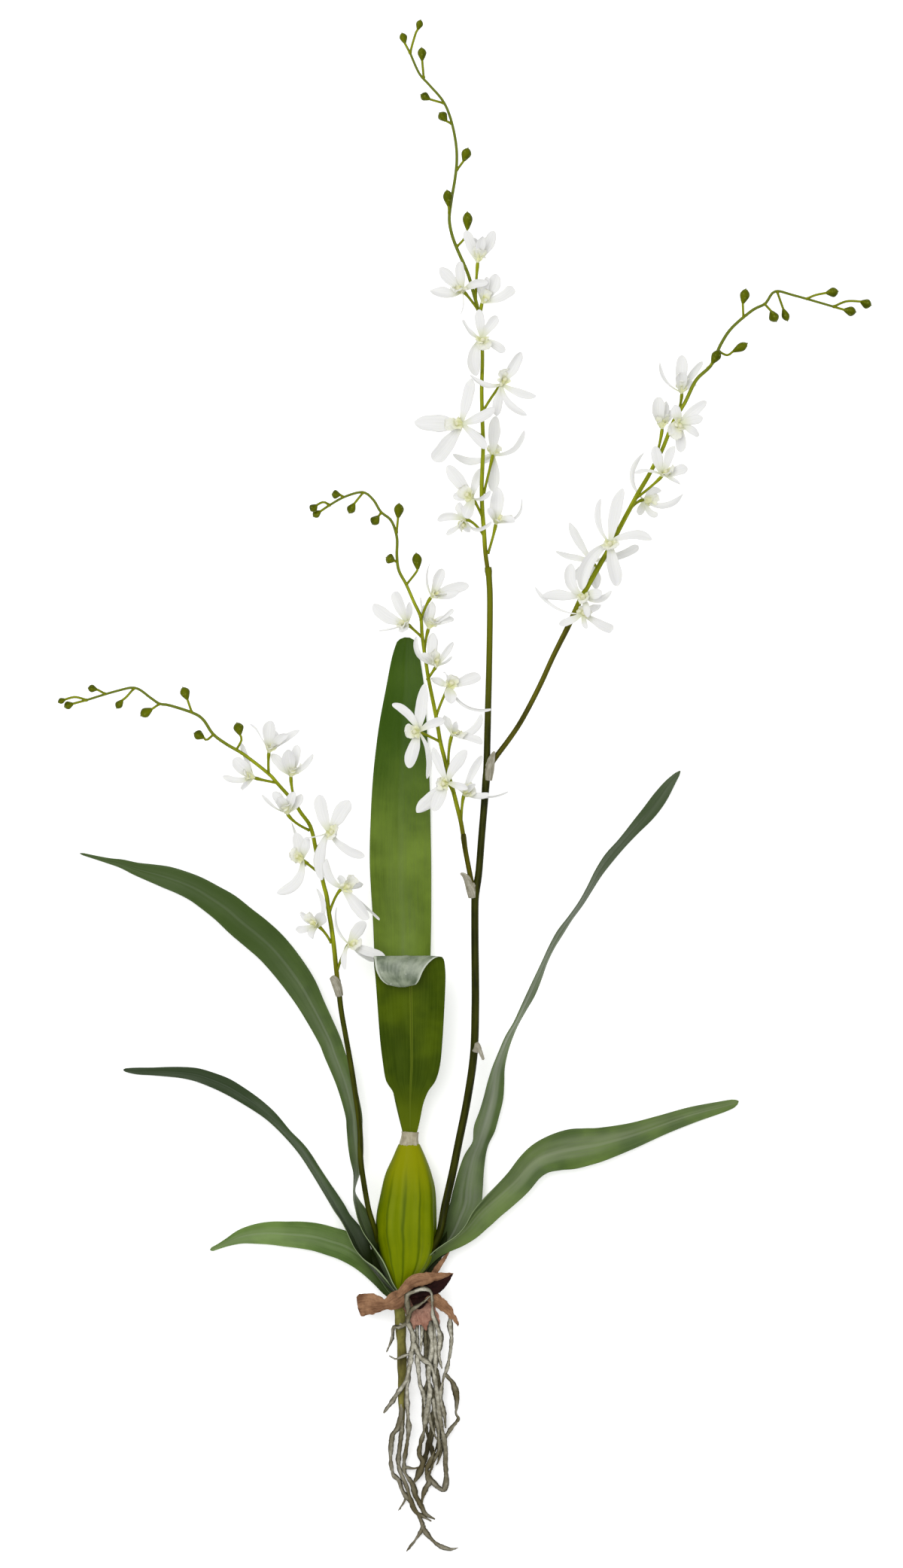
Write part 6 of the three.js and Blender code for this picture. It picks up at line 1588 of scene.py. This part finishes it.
def tepal(mesh, middle, facing, row, draw):
    width, bow, turn, widest = (*row[3:], *TEPAL_USUAL[len(row) - 3:])
    chord = Vector(row[:3])
    face = (facing * 0.6 + UP * (1 if facing.z > 0 else -1)).normalized()
    seen = abs(chord.cross(face).normalized().dot(Vector((-chord.y, chord.x, 0)).normalized()))
    rims, keel = draw.uniform(0.1, 0.55) * draw.choice((-1, 1, 1)), draw.uniform(0.05, 0.3)
    ripple, waves, phase = draw.uniform(0.2, 0.9), draw.uniform(4, 9), draw.uniform(0, 6)
    recurve, twist = draw.uniform(-2.2, 1.0), draw.uniform(-28, 28)
    lean, hook = draw.uniform(-0.12, 0.12), draw.uniform(-1.2, 1.2)
    curl = Curl(rims, keel, ripple, waves, phase, recurve, lean)
    section = petal_section(width / max(seen, LEAST_SEEN), tepal_shape(widest), curl, TEPAL_THICKNESS)
    rings = blade_rings(middle, chord, face, TEPAL_ARCH, TEPAL_RINGS, bow, turn, twist, hook)
    add_skin(mesh, rings, TEPAL_SIDES, section, tube=False)


# %% [markdown]
# The lip has a frilled middle lobe and two side lobes that stand up beside the column. Each lobe is a small
# petal whose corners are then pushed by noise, more so towards its tip.

# %% Lip
LIP_WIDTH = 9.5
LIP_REACH = 1.35  # how much further than its table row the frill runs
LIP_CURL = 0.25
LIP_WAVES = 11
SIDE_LOBE_LENGTH = 6
SIDE_LOBE_WIDTH = 5.8
SIDE_LOBE_CURL = 0.5
SIDE_LOBE_WAVES = 9
LOBE_THICKNESS = 0.4
LOBE_RINGS = 14
LOBE_SIDES = 22
LOBE_BROAD_TO = 0.85  # the share of its length to which a lobe stays broad
CRUMPLE = 0.9  # how far noise pushes a corner of the lip
CRUMPLE_FROM = 5  # millimetres from the heart at which it is pushed that far


def lobe_shape(share):
    if share < LOBE_BROAD_TO:
        return 0.4 + 0.6 * math.sin(math.pi / 2 * min(share / 0.7, 1))
    return max(1 - ((share - LOBE_BROAD_TO) / (1 - LOBE_BROAD_TO)) ** 2, 0) ** 0.5


def lobe(mesh, middle, facing, tip, width, rims, waves, draw):
    curl = Curl(rims, 0.15, 1.1, waves, draw.uniform(0, 6), -1, 0)
    section = petal_section(width, lobe_shape, curl, LOBE_THICKNESS)
    rings = blade_rings(middle, tip, facing, 1, LOBE_RINGS)
    faces = add_skin(mesh, rings, LOBE_SIDES, section, 1, tube=False)
    seed = Vector((draw.uniform(0, 50), 0, 0))
    for vert in {vert for face in faces for vert in face.verts}:
        away = min((vert.co - middle).length / CRUMPLE_FROM, 1)
        vert.co += CRUMPLE * away * noise.noise_vector(vert.co * 0.55 + seed)


def lip(mesh, middle, facing, row, draw):
    out = Vector(row[:3]) * LIP_REACH
    lobe(mesh, middle, facing, out, row[3] if len(row) > 3 else LIP_WIDTH, LIP_CURL, LIP_WAVES, draw)
    forward = out.normalized()
    across = forward.cross(facing).normalized()
    for hand in (-1, 1):
        end = (across * hand * 0.8 + facing * 0.55 + forward * 0.75).normalized() * SIDE_LOBE_LENGTH
        lobe(mesh, middle, facing, end, SIDE_LOBE_WIDTH, SIDE_LOBE_CURL * hand, SIDE_LOBE_WAVES, draw)


# %% [markdown]
# The column is a stubby hooded finger, and the only part of the flower with a clear tint.

# %% Column
COLUMN_LENGTH = 6.2
COLUMN_RADII = {0.3: 1.2, 0.65: 1.3, 0.9: 1.65, 1: 1.5}  # at shares of its length
COLUMN_SIDES = 14


def column(mesh, middle, facing, lip_tip):
    lean = Vector(lip_tip[:3]).normalized()
    top = middle + (facing * 0.7 + lean * 0.6).normalized() * COLUMN_LENGTH
    hood = top + lean * 0.9 - facing * 0.5
    rows = [(*(middle - facing * 0.6), 1.2)]
    rows += [(*middle.lerp(top, share), radius) for share, radius in COLUMN_RADII.items()]
    rows += [(*top.lerp(hood, 0.6), 1.1), (*hood, 0.5)]
    add_skin(mesh, Route(rows).rings(0.5), COLUMN_SIDES, stem_section, slot=2)


# %% Grow the blooms
for spray_number, (spray_name, spray) in enumerate(SPRAYS.items()):
    for number, (seat, _, facing, lip_tip, *tips) in enumerate(spray["blooms"], start=1):
        name = spray_name.replace("spray", "bloom") + "_" + str(number)
        draw = random.Random(100 * spray_number + number)
        middle, face = Vector(seat), Vector(facing).normalized()
        mesh = new_mesh()
        for tip in tips:
            tepal(mesh, middle, face, tip, draw)
        lip(mesh, middle, face, lip_tip, draw)
        column(mesh, middle, face, lip_tip)
        piece(name + "_flower", mesh, [PETAL, LIP, COLUMN], "petal", name)

# %% [markdown]
# ## The table
# The floor is a large matt sheet just under the plant. It is part of the stage and not of the plant. It
# glows a little, as a photographer's light table does, so that shadows on it stay faint.

# %% Floor
FLOOR_HALF_SIZE = 4.0  # metres
FLOOR_DROP = 0.0004


def floor_finish():
    white = Finish("table_white", (0.925, 0.925, 0.925), Roughness=0.9, Emission_Strength=0.4,
                   Emission_Color=(1, 1, 1, 1))
    white.tint((0.94, 0.94, 0.94), white.blotch(scale=3.0, contrast=0.3))
    return white.done()


floor_mesh = new_mesh()
bmesh.ops.create_grid(floor_mesh, x_segments=2, y_segments=2, size=FLOOR_HALF_SIZE, calc_uvs=True)
bmesh.ops.translate(floor_mesh, vec=(0, 0, -FLOOR_DROP), verts=floor_mesh.verts)
floor_data = bpy.data.meshes.new("table")
floor_mesh.to_mesh(floor_data)
floor_mesh.free()
floor_data.materials.append(floor_finish())
table = bpy.data.objects.new("table", floor_data)
scene.collection.objects.link(table)
print("floor is", 2 * FLOOR_HALF_SIZE, "m wide")
